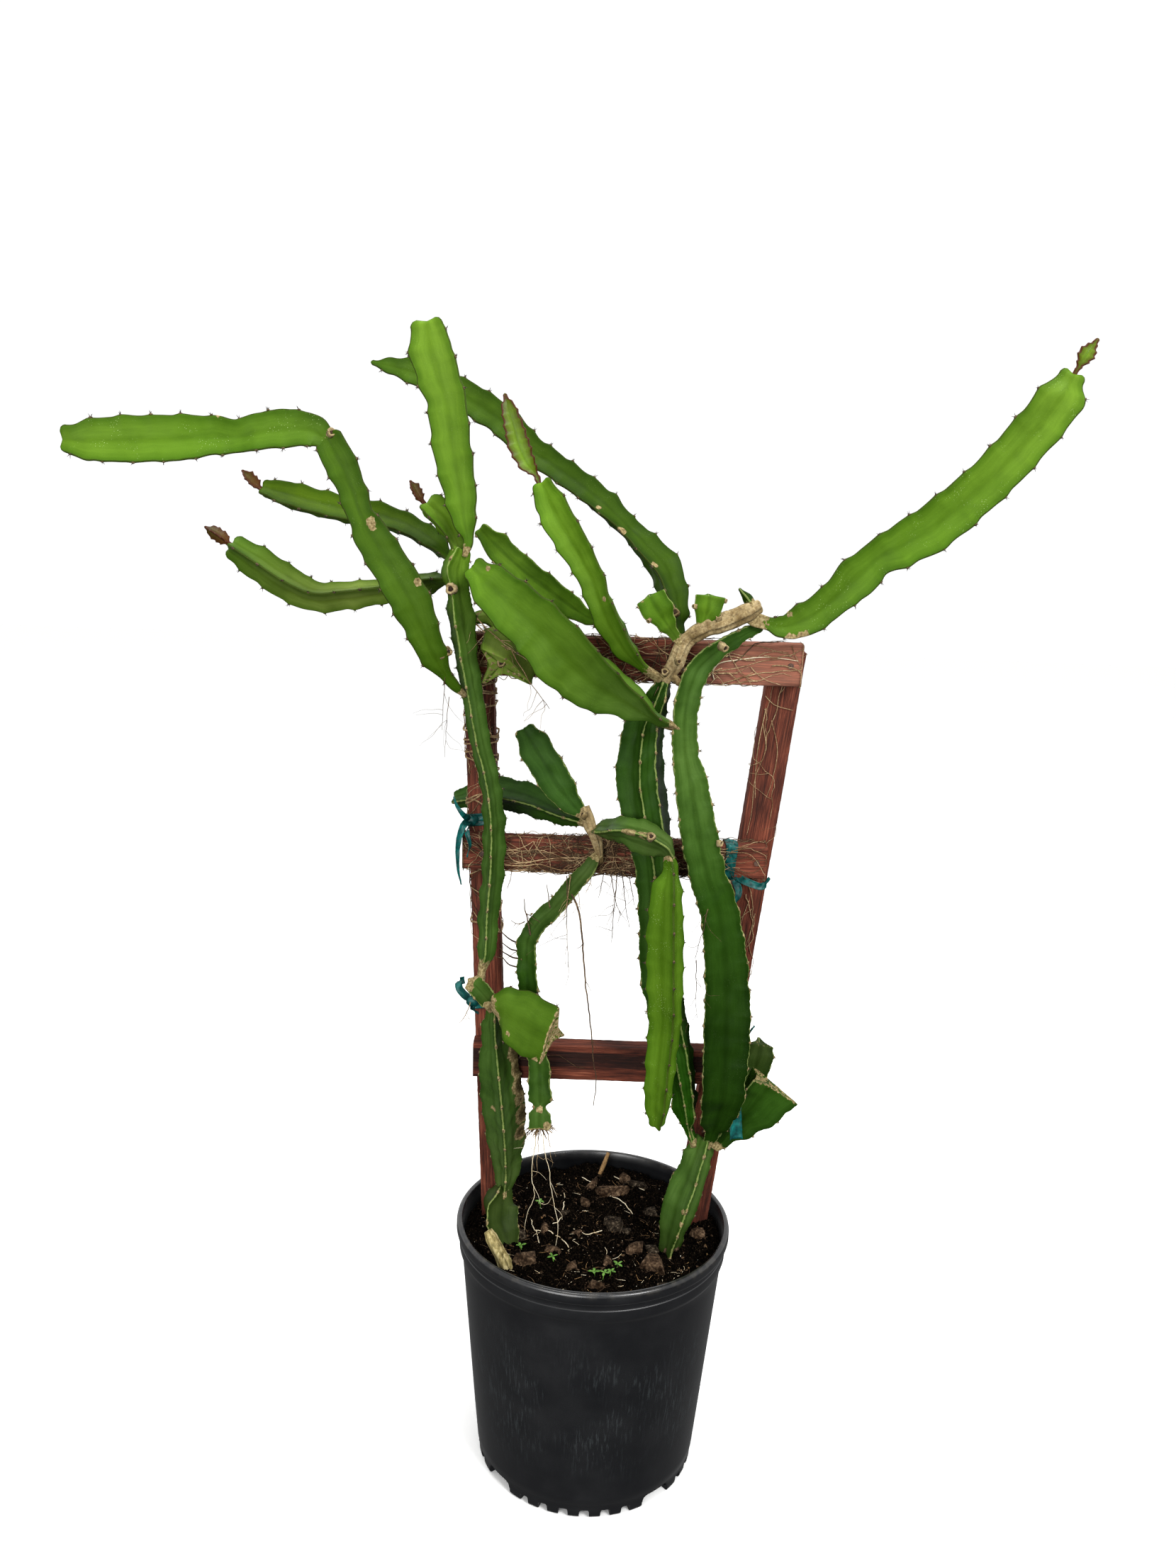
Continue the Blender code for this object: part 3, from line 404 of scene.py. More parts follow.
# Old cactus skin, weathered: deeper green with dull patches, pale line and cork along the edge
oldSkin = greenSkin("old cactus skin weathered", dict(
    roughness=0.46, specular=0.05, bump=0.45, line="#78844a", lineWidth=0.38, lineStrength=0.62, lineRag=1.0,
    lineShift=-0.5, fleck="#93a874", outer="#b4c49c", valley="#b4c090", dead=deadTissue,
    cork=((0.28, "#4f432b"), (0.50, "#7d6e4a"), (0.72, "#a89a70")),
    broad=((0.30, "#c2cdb6"), (0.50, "#e6ecdc"), (0.72, "#ffffff")),
    streak=((0.32, "#c4d0b6"), (0.64, "#ffffff"))))
# New shoot skin: tender and satin, edged red-brown
shootSkin = greenSkin("new shoot skin tender", dict(
    roughness=0.36, specular=0.14, bump=0.25, line="#41200f", lineWidth=2.0, lineStrength=0.95, lineRag=1.6,
    lineShift=-0.7, fleck="#c9d79a", outer="#b08a5e", valley="#c8cf9c", cork=youngCork, dead=deadTissue,
    broad=((0.30, "#d0c4a0"), (0.52, "#efe9d2"), (0.72, "#ffffff")),
    streak=((0.34, "#d6cdb0"), (0.62, "#ffffff"))))


def grainFinish(name, look):
    # a matt natural finish: a colour ramp over noise of a real grain size, broken by a coarser noise
    material, tree, shader = newFinish(name, look["roughness"], specular=look.get("specular", 0.3))
    source = addNode(tree, "TexCoord").outputs["Object"]
    if "stretch" in look:
        source = stretched(tree, source, look["stretch"])
    height = fine = addNoise(tree, source, look["grain"], 4.0, 0.6)
    colour = ramp(tree, fine, look["stops"])
    if "crack" in look:
        # a net of fine cracks between plates of a given size, its lines bent by noise
        bent = addNoise(tree, source, look["crack"], 3.0).outputs["Color"]
        bent = addNode(tree, "VectorMath", {0: bent, 1: (1.8 * look["crack"] * mm,) * 3, 2: source},
                       operation="MULTIPLY_ADD")
        net = addNode(tree, "TexVoronoi", {"Vector": bent, "Scale": 1 / (look["crack"] * mm)},
                      feature="DISTANCE_TO_EDGE")
        net = easing(tree, net, 0.0, 0.09)
        lines = ramp(tree, net, ((0.0, look["crackShade"]), (1.0, "#ffffff")))
        colour = layer(tree, colour, lines, 1.0, "MULTIPLY")
        height = calculate(tree, "MULTIPLY_ADD", fine, 0.3, net)
    low, dark, high = look["shade"]
    shade = ramp(tree, addNoise(tree, source, look["patch"], 2.0), ((low, dark), (high, "#ffffff")))
    setInputs(shader, {"Base Color": layer(tree, colour, shade, 1.0, "MULTIPLY"),
                       "Normal": addBump(tree, height, look["bump"], look["relief"] * mm)})
    return material


# Felted areole wool: dull greyish tan
areoleFelt = grainFinish("felted areole wool", dict(
    roughness=0.95, grain=0.7, patch=4, bump=0.5, relief=0.2,
    stops=((0.3, "#33291b"), (0.7, "#6b5c40")), shade=(0.3, "#c8c0b0", 0.7)))
# Old areole wool, bleached: dull straw
oldFelt = grainFinish("felted areole wool bleached", dict(
    roughness=0.95, grain=0.7, patch=4, bump=0.5, relief=0.2,
    stops=((0.3, "#6a5e42"), (0.7, "#a09268")), shade=(0.3, "#c8c0b0", 0.7)))
# Horny spine: hard, dark brown, a faint gloss
spineHorn = grainFinish("horny spine", dict(
    roughness=0.5, grain=1.5, patch=5, bump=0.1, relief=0.1, specular=0.4,
    stops=((0.3, "#160e09"), (0.7, "#362518")), shade=(0.3, "#b0a090", 0.7)))
# Dead corky bark, cracked as it dried: tan plates with faint cracks
corkyBark = grainFinish("corky bark dried and cracked", dict(
    roughness=0.9, grain=2.6, patch=14, bump=0.35, relief=0.25, crack=9.0, crackShade="#e8e0d2",
    stops=((0.25, "#5f5036"), (0.42, "#847352"), (0.60, "#9c8b66"), (0.78, "#b8a882")),
    shade=(0.3, "#aaa086", 0.62)))
# Heartwood of a broken stem: dark and dry
heartwood = grainFinish("heartwood dry and dark", dict(
    roughness=0.95, grain=0.8, patch=4, bump=0.5, relief=0.2,
    stops=((0.3, "#20150d"), (0.7, "#4a3625")), shade=(0.3, "#b0a090", 0.7)))
# Dried stem: shrivelled to straw-coloured ridges
driedStem = grainFinish("dried stem shrivelled", dict(
    roughness=0.85, grain=2.4, patch=9, bump=0.8, relief=0.6, stretch=(1.0, 1.0, 0.16),
    stops=((0.30, "#5b5434"), (0.48, "#938656"), (0.66, "#bdb083")), shade=(0.3, "#a59c7c", 0.62)))
# Dry aerial root: matt fibrous tan
dryRoot = grainFinish("dry aerial root", dict(
    roughness=0.9, grain=1.8, patch=16, bump=0.4, relief=0.2,
    stops=((0.28, "#6c5840"), (0.52, "#9a815e"), (0.75, "#c2ab87")), shade=(0.3, "#a08a76", 0.6)))
# Dead root: brittle, dark brown
deadRoot = grainFinish("dead aerial root", dict(
    roughness=0.9, grain=1.8, patch=16, bump=0.4, relief=0.2,
    stops=((0.28, "#33261a"), (0.52, "#54412c"), (0.75, "#7d6747")), shade=(0.3, "#a08a76", 0.6)))
# Living root: smooth, nearly white
paleRoot = grainFinish("living root pale", dict(
    roughness=0.7, grain=2.0, patch=14, bump=0.2, relief=0.1,
    stops=((0.3, "#bdae8e"), (0.7, "#e0d6be")), shade=(0.3, "#d8cdb8", 0.6)))


def makeSlatFinish(look):
    # Redwood lath, rough sawn and stained: dull red-brown with dark open grain and worn fibres.
    # grain on the mesh gives mm along, across and into the slat, so the grain runs with it.
    material, tree, shader = newFinish("redwood lath rough sawn stained", 0.82, specular=0.25)
    grain = meshValue(tree, "grain")
    long, wide = 1 / look["grainLength"], 1 / look["grainWidth"]
    fibre = addNoise(tree, stretched(tree, grain, (long, wide, wide)), metre, 5.0, 0.7)
    broad = addNoise(tree, stretched(tree, grain, (1 / 60, 1 / 16, 1 / 16)), metre, 3.0)
    patches = ramp(tree, broad, look["patches"])
    colour = layer(tree, ramp(tree, fibre, look["stain"]), patches, 1.0, "MULTIPLY")
    # a value on the mesh says how much darker and how much bleached each slat is
    darkBand, bleached, _ = addNode(tree, "SeparateXYZ", {0: meshValue(tree, "wear")}).outputs
    for part, tone, kind in ((darkBand, "black", "MULTIPLY"), (bleached, "bleached", "SCREEN")):
        spots = easing(tree, calculate(tree, "ADD", broad, part), 1.0, 1.25, 0.0, 0.85)
        colour = layer(tree, colour, look[tone], spots, kind)
    setInputs(shader, {"Base Color": colour, "Normal": addBump(tree, fibre, 0.8, 0.0006)})
    return material


slatFinish = makeSlatFinish(dict(
    grainLength=38.0, grainWidth=1.3,
    stain=((0.30, "#200f09"), (0.42, "#4a2115"), (0.54, "#6b3423"), (0.66, "#834a35"), (0.80, "#a06d55")),
    patches=((0.30, "#908884"), (0.60, "#ffffff")), black="#1f1a18", bleached="#6b4a3c"))


def makePotFinish(look):
    # High-density polyethylene, blow moulded in black: satin, faintly scuffed along its belt, the rim
    # smoother and dusty
    material, tree, shader = newFinish("polyethylene blow moulded black", 0.42, 1.54)
    place = addNode(tree, "TexCoord").outputs["Object"]
    height = addNode(tree, "SeparateXYZ", {0: place}).outputs[2]
    # upright scuffs, 2 mm wide and 26 mm long, in patches below the band
    scuff = stretched(tree, place, (metre / 2.0, metre / 2.0, metre / 26))
    scuff = easing(tree, addNoise(tree, scuff, metre, 4.0, 0.65), 0.50, 0.66)
    patches = easing(tree, addNoise(tree, place, 55, 2.0), 0.38, 0.64, 0.0, 0.8)
    for share in (patches, easing(tree, height, 0.03, 0.09), easing(tree, height, 0.15, 0.215, 1.0, 0.0)):
        scuff = calculate(tree, "MULTIPLY", scuff, share)
    rim = easing(tree, height, 0.252, 0.258)
    dust = calculate(tree, "MULTIPLY", easing(tree, addNoise(tree, place, 9, 4.0), 0.44, 0.70, 0.0, 0.5), rim)
    rough = rising(tree, addNoise(tree, place, 34, 4.0), 0.3, 0.7, 0.34, 0.50)
    rough = calculate(tree, "MULTIPLY_ADD", scuff, 0.2, rough)
    setInputs(shader, {
        "Base Color": layer(tree, layer(tree, look["black"], look["scuff"], scuff), look["dust"], dust),
        "Roughness": calculate(tree, "MULTIPLY_ADD", rim, -0.14, rough),
        "Normal": addBump(tree, addNoise(tree, place, 1.4, 3.0), 0.12, 0.0003),
        "Sheen Weight": look["haze"], "Sheen Roughness": look["hazeRoughness"]})
    return material


potFinish = makePotFinish(dict(
    black="#050609", scuff="#1d2224", dust="#35322c", haze=0.06, hazeRoughness=0.3))
# Peat and composted bark: near black, matt, crumbly
mixFinish = grainFinish("peat and bark potting mix", dict(
    roughness=0.97, grain=1.5, patch=7, bump=1.0, relief=1.0, specular=0.02,
    stops=((0.36, "#010000"), (0.53, "#070503"), (0.64, "#221a12"), (0.76, "#5c4c3a")),
    shade=(0.3, "#808080", 0.6)))
barkChip = grainFinish("fir bark chip", dict(
    roughness=0.9, grain=3.0, patch=10, bump=0.9, relief=0.7, specular=0.05,
    stops=((0.30, "#1a130d"), (0.48, "#403124"), (0.68, "#75604b")), shade=(0.3, "#6a5c50", 0.6)))
# the same bark from its outer, weathered side: greyer and darker
barkDark = grainFinish("fir bark chip weathered", dict(
    roughness=0.9, grain=2.2, patch=8, bump=0.9, relief=0.7, specular=0.05,
    stops=((0.34, "#0e0b08"), (0.52, "#2e261d"), (0.70, "#6e6252")), shade=(0.3, "#6a6258", 0.6)))
# Expanded perlite, puffed by heat: chalky off-white
perlite = grainFinish("expanded perlite", dict(
    roughness=0.9, grain=0.9, patch=4, bump=0.6, relief=0.3,
    stops=((0.3, "#a8a294"), (0.7, "#e2ded2")), shade=(0.3, "#d0c8b8", 0.6)))
dryStick = grainFinish("dry stick", dict(
    roughness=0.85, grain=1.6, patch=9, bump=0.6, relief=0.3,
    stops=((0.3, "#5c4127"), (0.7, "#a98757")), shade=(0.3, "#b0a090", 0.6)))
weedLeaf = grainFinish("seedling leaf", dict(
    roughness=0.5, grain=2.0, patch=5, bump=0.2, relief=0.1,
    stops=((0.3, "#3f6a22"), (0.7, "#6f9a3c")), shade=(0.3, "#c0d0a8", 0.6)))
# Stretch tie tape, extruded vinyl: teal, satin, lighter and darker in patches
tieFinish = grainFinish("vinyl tie tape extruded", dict(
    roughness=0.42, grain=5.0, patch=14, bump=0.2, relief=0.3, specular=0.25,
    stops=((0.30, "#03302f"), (0.55, "#07514d"), (0.80, "#10706a")), shade=(0.3, "#b8c4c4", 0.6)))
# Wire nail, bright steel gone to rust
nailFinish = grainFinish("wire nail rusted", dict(
    roughness=0.6, grain=1.2, patch=4, bump=0.5, relief=0.2,
    stops=((0.3, "#2d1a12"), (0.6, "#5b4438"), (0.8, "#8a8078")), shade=(0.3, "#b0a090", 0.6)))
print("finishes made")

# Pot

pot = dict(
    height=259.0, rim=140.0, lipHeight=12.0, lipWidth=6.0, bandHeight=19.0, bandInset=3.5, bandStep=3.0,
    base=112.5, wall=2.0, floor=3.0, footBand=15.0, wallFoot=114.0, steps=216,
    notchPitch=10.7, notchWidth=10.0, notchHeight=9.0, notches=6, archWidth=35.0, archHeight=13.0)


def potProfile():
    # outside from the rim down to the middle of the foot, then the inside up again, as radius and height
    rim, top, wall, base, floor = pot["rim"], pot["height"], pot["wall"], pot["base"], pot["floor"]
    lip = top - pot["lipHeight"]
    band, bandRadius = lip - pot["bandHeight"], rim - pot["bandInset"]
    belowZ, below = band - pot["bandStep"], bandRadius - pot["bandStep"]
    foot, footZ, inner = pot["wallFoot"], pot["footBand"], rim - pot["lipWidth"]
    taper = [(below + (foot - below) * t, belowZ + (footZ - belowZ) * t) for t in np.linspace(0.04, 0.96, 24)]
    outside = [
        (rim - 3.2, top + 0.0), (rim - 1.6, top - 0.5), (rim - 0.4, top - 1.8), (rim, top - 3.6),
        (rim, lip + 3.0), (rim - 0.5, lip + 1.2), (rim - 1.6, lip + 0.2), (rim - 2.8, lip),
        (bandRadius + 0.3, lip - 0.3), (bandRadius, lip - 1.0),
        (bandRadius, lip - 5.6), (bandRadius - 0.7, lip - 6.3), (bandRadius - 0.7, lip - 6.9),
        (bandRadius, lip - 7.6), (bandRadius, band + 3.2), (bandRadius - 0.6, band + 1.0),
        (below + 0.8, belowZ + 1.6), (below + 0.1, belowZ - 0.3), *taper,
        (foot, footZ + 0.6), (foot - 0.8, footZ - 0.4), (base + 0.4, 9.0), (base, 3.4), (base - 0.8, 1.4),
        (base - 3.0, 0.0), (base - 12.0, 0.4), (60.0, 0.8), (0.0, 0.8)]
    inside = [
        (0.0, floor), (base - 6.0, floor), (base - wall, 6.0), (foot - wall, footZ),
        *[(r - wall, z) for r, z in taper[::-1]],
        (below - wall, belowZ), (bandRadius - wall, band), (bandRadius - wall, lip - 1.0),
        (inner, lip + 1.5), (inner, top - 2.0), (inner + 1.0, top - 0.4)]
    return outside, inside


def addNotch(shape, angle, width, height, slope):
    # a wedge through the foot of the wall, narrower at its top
    half = [(width / 2, -10), (width / 2, height * 0.45), (width / 2 - slope * 0.3, height * 0.85),
            (width / 2 - slope, height)]
    outline = half + [(-across, z) for across, z in half[::-1]]
    cosine, sine = math.cos(angle), math.sin(angle)
    points = [(radius * cosine - across * sine, radius * sine + across * cosine, z)
              for radius in (pot["base"] - 12.0, pot["base"] + 10.0) for across, z in outline]
    n = len(outline)
    faces = [tuple(range(n)), tuple(range(n, 2 * n))[::-1]]
    shape.add(points, faces + [(k, k + n, (k + 1) % n + n, (k + 1) % n) for k in range(n)])


def makePot():
    outside, inside = potProfile()
    shape = Shape()
    turn = evenTurns(pot["steps"])
    profile = outside[:-1] + inside[1:]
    points = []
    for radius, z in profile:
        # blown plastic is never quite round: under half a millimetre of drift on the wall
        drift = 0.35 * np.sin(2 * turn + 0.6) * between(20, 60, z) * between(259, 225, z)
        points.append(levelRing(radius + drift, z, turn))
    points = np.vstack(points + [(0, 0, outside[-1][1]), (0, 0, inside[0][1])])
    # the rings of the foot and the floor aren't joined to each other, each has its own middle
    foot = len(outside) - 2
    faces = [face for i in range(len(profile)) if i != foot
             for face in bridge(i, (i + 1) % len(profile), len(turn))]
    faces += fan(foot, len(turn), len(points) - 2) + fan(foot + 1, len(turn), len(points) - 1)
    shape.add(points, faces)
    made = shape.piece("nursery_pot", [potFinish], "pot_plastic", ["pot"])
    cutter = Shape()
    for quarter in range(4):
        front = math.radians(-95 + 90 * quarter)
        for k in range(pot["notches"]):
            offset = (k - (pot["notches"] - 1) / 2) * pot["notchPitch"]
            addNotch(cutter, front + math.radians(offset), pot["notchWidth"], pot["notchHeight"], 1.5)
        addNotch(cutter, front + math.radians(45), pot["archWidth"], pot["archHeight"], 6.0)
    mesh = bpy.data.meshes.new("notches")
    mesh.from_pydata((np.concatenate(cutter.points) * mm).tolist(), [], cutter.faces)
    bm = bmesh.new()
    bm.from_mesh(mesh)
    bmesh.ops.recalc_face_normals(bm, faces=bm.faces)
    bm.to_mesh(mesh)
    bm.free()
    tool = bpy.data.objects.new("notches", mesh)
    bpy.context.scene.collection.objects.link(tool)
    cut = made.modifiers.new("notches", "BOOLEAN")
    cut.operation = "DIFFERENCE"
    cut.object = tool
    bpy.context.view_layer.update()
    carved = bpy.data.meshes.new_from_object(made.evaluated_get(bpy.context.evaluated_depsgraph_get()))
    made.modifiers.clear()
    made.data = carved
    carved.shade_smooth()
    carved.set_sharp_from_angle(angle=math.radians(38))
    bpy.data.objects.remove(tool, do_unlink=True)


makePot()
print("pot made")

# Potting mix: crumbs, bark chips, perlite and straw-coloured bits lying on it (mm)

soil = dict(
    level=237.0, bottom=15.5, wall=131.0, foot=111.6,
    mounds=((22, 55, 20, 9), (16, -30, 14, 8), (52, -75, 13, 8), (-55, -85, 14, 6), (-50, 5, 11, 4),
            (45, 75, 16, 7)),
    unevenness=((16.0, 1.4), (7.0, 2.0), (3.4, 1.6)),
    rings=96, around=280, crumbs=1100, reach=128, slabFrom=12)


def soilHeight(x, y):
    # the solid's own uneven top, with its mounds
    radius = np.hypot(x, y) / metre
    height = 2.2 * np.sin(x * 0.061 + 1.3) * np.cos(y * 0.053 - 0.4) + 1.4 * np.sin(x * 0.143 + y * 0.117)
    height = height + 4.0 * (radius / 0.13) ** 4
    for moundX, moundY, size, rise in soil["mounds"]:
        away = ((x - moundX) ** 2 + (y - moundY) ** 2) / (size * size)
        height = height + rise * 0.45 * np.exp(-away ** 2)
    return soil["level"] + height


def addLump(shape, place, size, seed, finish, tilt):
    # an angular lump: the hull of a few random points
    draw = np.random.default_rng(seed)
    points = unit(draw.normal(size=(14, 3))) * draw.uniform(0.72, 1.0, (14, 1))
    if size[0] > soil["slabFrom"]:
        # a slab of bark: an irregular outline of nine corners, its upper face smaller and uneven
        corners = np.sort(draw.uniform(0, 2 * math.pi, 9))
        outline = np.stack([np.cos(corners), np.sin(corners)], 1) * draw.uniform(0.7, 1.05, (9, 1))
        upper = np.hstack([outline * draw.uniform(0.6, 0.95, (9, 1)), draw.uniform(0.3, 1.0, (9, 1))])
        points = np.vstack([upper, np.hstack([outline, draw.uniform(-1.0, -0.4, (9, 1))])])
    points = points * np.array(size) / 2
    turn = Matrix.Rotation(draw.uniform(*anyTurn), 3, "Z")
    for axis in "XY":
        turn = turn @ Matrix.Rotation(draw.uniform(-tilt, tilt), 3, axis)
    bm = bmesh.new()
    for point in points:
        bm.verts.new(turn @ Vector(point) + Vector(place))
    bmesh.ops.convex_hull(bm, input=bm.verts)
    bmesh.ops.delete(bm, geom=[v for v in bm.verts if not v.link_faces], context="VERTS")
    bm.verts.index_update()
    shape.add([v.co for v in bm.verts], [[v.index for v in f.verts] for f in bm.faces], finish)
    bm.free()


# sorts of crumb: the share up to which each is drawn, its finish on the piece and its sizes
crumbSorts = ((0.09, 2, (1.0, 2.4)), (0.2, 3, (1.2, 3.6)), (0.45, 1, (2.0, 6.0)), (1, 0, (2.0, 8.0)))


def makeSoil():
    shape = Shape()
    rings, turn = soil["rings"], evenTurns(soil["around"])
    radius = soil["wall"] * (1 - np.arange(rings) / rings) ** 0.9
    flat = np.concatenate([levelRing(r, 0.0, turn) for r in radius])
    rise = sum(size * np.abs(wobble(flat, length, 20 + i))
               for i, (length, size) in enumerate(soil["unevenness"]))
    flat[:, 2] = soilHeight(flat[:, 0], flat[:, 1]) + rise - 1.6
    low = [levelRing(soil["foot"], soil["bottom"], turn), levelRing(soil["wall"] - 1.0, 229.0, turn)]
    points = np.vstack(low + [flat, (0, 0, soil["bottom"]), (0, 0, float(soilHeight(0, 0)))])
    rings += len(low)
    faces = loft(rings, len(turn)) + fan(0, len(turn), len(points) - 2, turned=True)
    shape.add(points, faces + fan(rings - 1, len(turn), len(points) - 1), 0)
    draw = np.random.default_rng(7)
    for k in range(soil["crumbs"]):
        # crumbs all over: bark, perlite specks and straw-coloured bits
        away, turned = soil["reach"] * math.sqrt(draw.uniform()), draw.uniform(*anyTurn)
        px, py = away * math.cos(turned), away * math.sin(turned)
        sort = draw.uniform()
        finish, sizes = next((finish, sizes) for share, finish, sizes in crumbSorts if sort < share)
        size = draw.uniform(*sizes)
        wide = (size, size * draw.uniform(0.5, 1.0), size * draw.uniform(0.4, 0.8))
        addLump(shape, (px, py, float(soilHeight(px, py)) + 0.5), wide, 100 + k, finish, 0.8)
    for k, (px, py, *size) in enumerate(barkChips):
        place = (px, py, float(soilHeight(px, py)) + size[2] * 0.22)
        addLump(shape, place, size, 900 + k, 1 if k % 3 else 4, 0.35)
    finishes = [mixFinish, barkChip, perlite, dryStick, barkDark]
    shape.piece("potting_mix", finishes, "potting_mix", ["soil"], crease=50)


# large bark chips: x, y, then length, width and thickness (mm)
barkChips = (
    (21, 11, 32, 27, 15), (60, -64, 40, 26, 15), (-66, -63, 36, 27, 15), (-78, -13, 28, 18, 12),
    (37, 106, 36, 16, 11), (44, -35, 26, 22, 12), (59, -29, 22, 16, 10), (108, -8, 26, 20, 11),
    (22, 80, 54, 26, 15), (48, 92, 34, 16, 10), (-50, 5, 20, 14, 8), (-8, 62, 28, 13, 8), (62, 40, 26, 15, 9),
    (80, -30, 22, 13, 8), (-20, -70, 22, 14, 8), (35, 5, 18, 13, 8), (0, 95, 28, 13, 9), (88, 15, 22, 15, 8),
    (-30, 35, 20, 12, 7), (5, -100, 22, 15, 9), (-40, -40, 20, 13, 8), (95, 60, 22, 15, 9),
    (-15, -5, 16, 11, 7), (16, -52, 22, 13, 7), (70, -92, 24, 13, 8))
makeSoil()
print("potting mix made")

# Trellis: slats of rough-sawn lath (mm), leaning forward

trellis = dict(
    lean=0.10, planeY=30.0, foot=155.0, top=848.0, thick=18.0,
    legs=dict(
        leg_left=dict(x=-103.0, splay=-0.0394, width=28.0),
        leg_right=dict(x=104.0, splay=0.0884, width=32.0)),
    rungs=dict(
        rung_top=dict(z=836.0, height=38.0, x0=-136.0, x1=168.0),
        rung_middle=dict(z=648.0, height=32.0, x0=-138.0, x1=150.0),
        rung_bottom=dict(z=431.0, height=37.0, x0=-126.0, x1=136.0)),
    step=3.5, edge=1.6, sawn=0.34)
leanTurn = Matrix.Rotation(math.atan(trellis["lean"]), 4, "X")


def planeY(z):
    return trellis["planeY"] - trellis["lean"] * (z - soil["level"])


legMiddle = (trellis["foot"] + trellis["top"]) / 2


def legMatrix(leg):
    x = leg["x"] + leg["splay"] * (legMiddle - soil["level"])
    turn = leanTurn @ Matrix.Rotation(math.atan(leg["splay"]), 4, "Y")
    return Matrix.Translation((x, planeY(legMiddle), legMiddle)) @ turn


def rungMatrix(rung):
    y = planeY(rung["z"]) - (trellis["thick"] + 0.3) / math.cos(math.atan(trellis["lean"]))
    return Matrix.Translation(((rung["x0"] + rung["x1"]) / 2, y, rung["z"])) @ leanTurn


def alongLeg(leg, z):
    # mm along a leg's slat for a height
    return (z - legMiddle) * math.hypot(1, trellis["lean"], leg["splay"])


# a slat's own frame: where it is, its length axis, its width axis; thickness is the third
slats = {}
for name, leg in trellis["legs"].items():
    length = 2 * alongLeg(leg, trellis["top"])
    slats[name] = dict(matrix=legMatrix(leg), length=length, width=leg["width"], upright=True)
for name, rung in trellis["rungs"].items():
    length = rung["x1"] - rung["x0"]
    slats[name] = dict(matrix=rungMatrix(rung), length=length, width=rung["height"], upright=False)


def fromSlat(slat, wide, thick, along):
    # points from mm in a slat's own frame
    local = np.stack([wide, thick, along] if slat["upright"] else [along, thick, wide], axis=-1)
    turn = np.array(slat["matrix"])
    return local @ turn[:3, :3].T + turn[:3, 3]


def onSlat(slat, along, across, lift):
    # points by mm along the slat, mm round its outline from the middle of the front, and mm off it
    w, t = slat["width"] / 2, trellis["thick"] / 2
    outline = 4 * (w + t)
    run = np.mod(np.asarray(across, float) + w, outline)
    side = np.searchsorted(np.cumsum([2 * w, 2 * t, 2 * w]), run, side="right")
    local = run - np.array([0, 2 * w, 2 * w + 2 * t, 4 * w + 2 * t])[side]
    u = np.choose(side, [-w + local, w + 0 * local, w - local, -w + 0 * local])
    v = np.choose(side, [-t + 0 * local, -t + local, t + 0 * local, t - local])
    # outward direction, turned softly round the corners
    soft = 3.0
    outU = between(w - soft, w + 0.01, u) - between(w - soft, w + 0.01, -u)
    outV = between(t - soft, t + 0.01, v) - between(t - soft, t + 0.01, -v)
    out = unit(np.stack([outU, outV], axis=-1) + 1e-6)
    u, v = u + out[..., 0] * lift, v + out[..., 1] * lift
    return fromSlat(slat, u, v, np.asarray(along, float) + 0 * u)


def makeSlat(name, slat, seed):
    shape = Shape()
    w, t, half = slat["width"] / 2, trellis["thick"] / 2, slat["length"] / 2
    edge = trellis["edge"]
    outline = []
    for su, sv, start in ((1, 1, 0), (-1, 1, 90), (-1, -1, 180), (1, -1, 270)):
        for turn in (0, 45, 90):
            angle = math.radians(start + turn)
            outline.append((su * (w - edge) + edge * math.cos(angle),
                            sv * (t - edge) + edge * math.sin(angle)))
    ring = []
    for a, b in zip(outline, outline[1:] + outline[:1]):
        count = max(1, round(math.dist(a, b) / 1.5))
        ring += [np.array(a) + (np.array(b) - np.array(a)) * s / count for s in range(count)]
    ring = np.array(ring)
    stations = np.linspace(-half, half, max(2, round(2 * half / trellis["step"])) + 1)
    s = np.repeat(stations, len(ring))
    uv = np.tile(ring, (len(stations), 1))
    fibre = np.stack([s * 0.02, uv[:, 0], uv[:, 1]], axis=1)
    saw = np.stack([s, uv[:, 0] * 0.15, uv[:, 1] * 0.15], axis=1)
    relief = trellis["sawn"] * (wobble(fibre, 3.2, seed) * 0.8 + wobble(saw, 5.0, seed + 1) * 0.35)
    out = unit(np.stack([np.sign(uv[:, 0]) * between(w - 2, w, np.abs(uv[:, 0])),
                         np.sign(uv[:, 1]) * between(t - 2, t, np.abs(uv[:, 1]))], axis=1) + 1e-6)
    warp = 0.5 * np.sin(s / half * 2.1 + seed)
    uv = uv + out * (relief - 0.1)[:, None]
    uv[:, 0] += warp * 0.4
    points = fromSlat(slat, uv[:, 0], uv[:, 1], s)
    grain = np.stack([s + 500 * seed, uv[:, 0], uv[:, 1]], axis=1)
    # the lower rung is darker in a band along its middle, the top rung's right end bleached
    black = 0.78 * between(-9, -2, uv[:, 0]) * between(17, 11, uv[:, 0]) if name == "rung_bottom" else 0 * s
    bleached = 0.75 * between(20, 70, s) if name == "rung_top" else 0 * s
    wear = np.stack([black, bleached, 0 * s], axis=1)
    shape.add(points, loft(len(stations), len(ring), capped=True), 0, grain=grain, wear=wear)
    shape.piece("slat_" + name, [slatFinish], "redwood", [name], crease=40)


for seed, (name, slat) in enumerate(slats.items()):
    makeSlat(name, slat, seed + 3)
for name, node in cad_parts.items():
    if name.startswith("nail_"):
        node.data.materials.clear()
        node.data.materials.append(nailFinish)
print("trellis made")

# Stems. Rows are x, y, z and the reach of the wings in mm, as in the solids.
# roll 0 turns a hollow between two wings to the front, roll 60 turns a wing there.

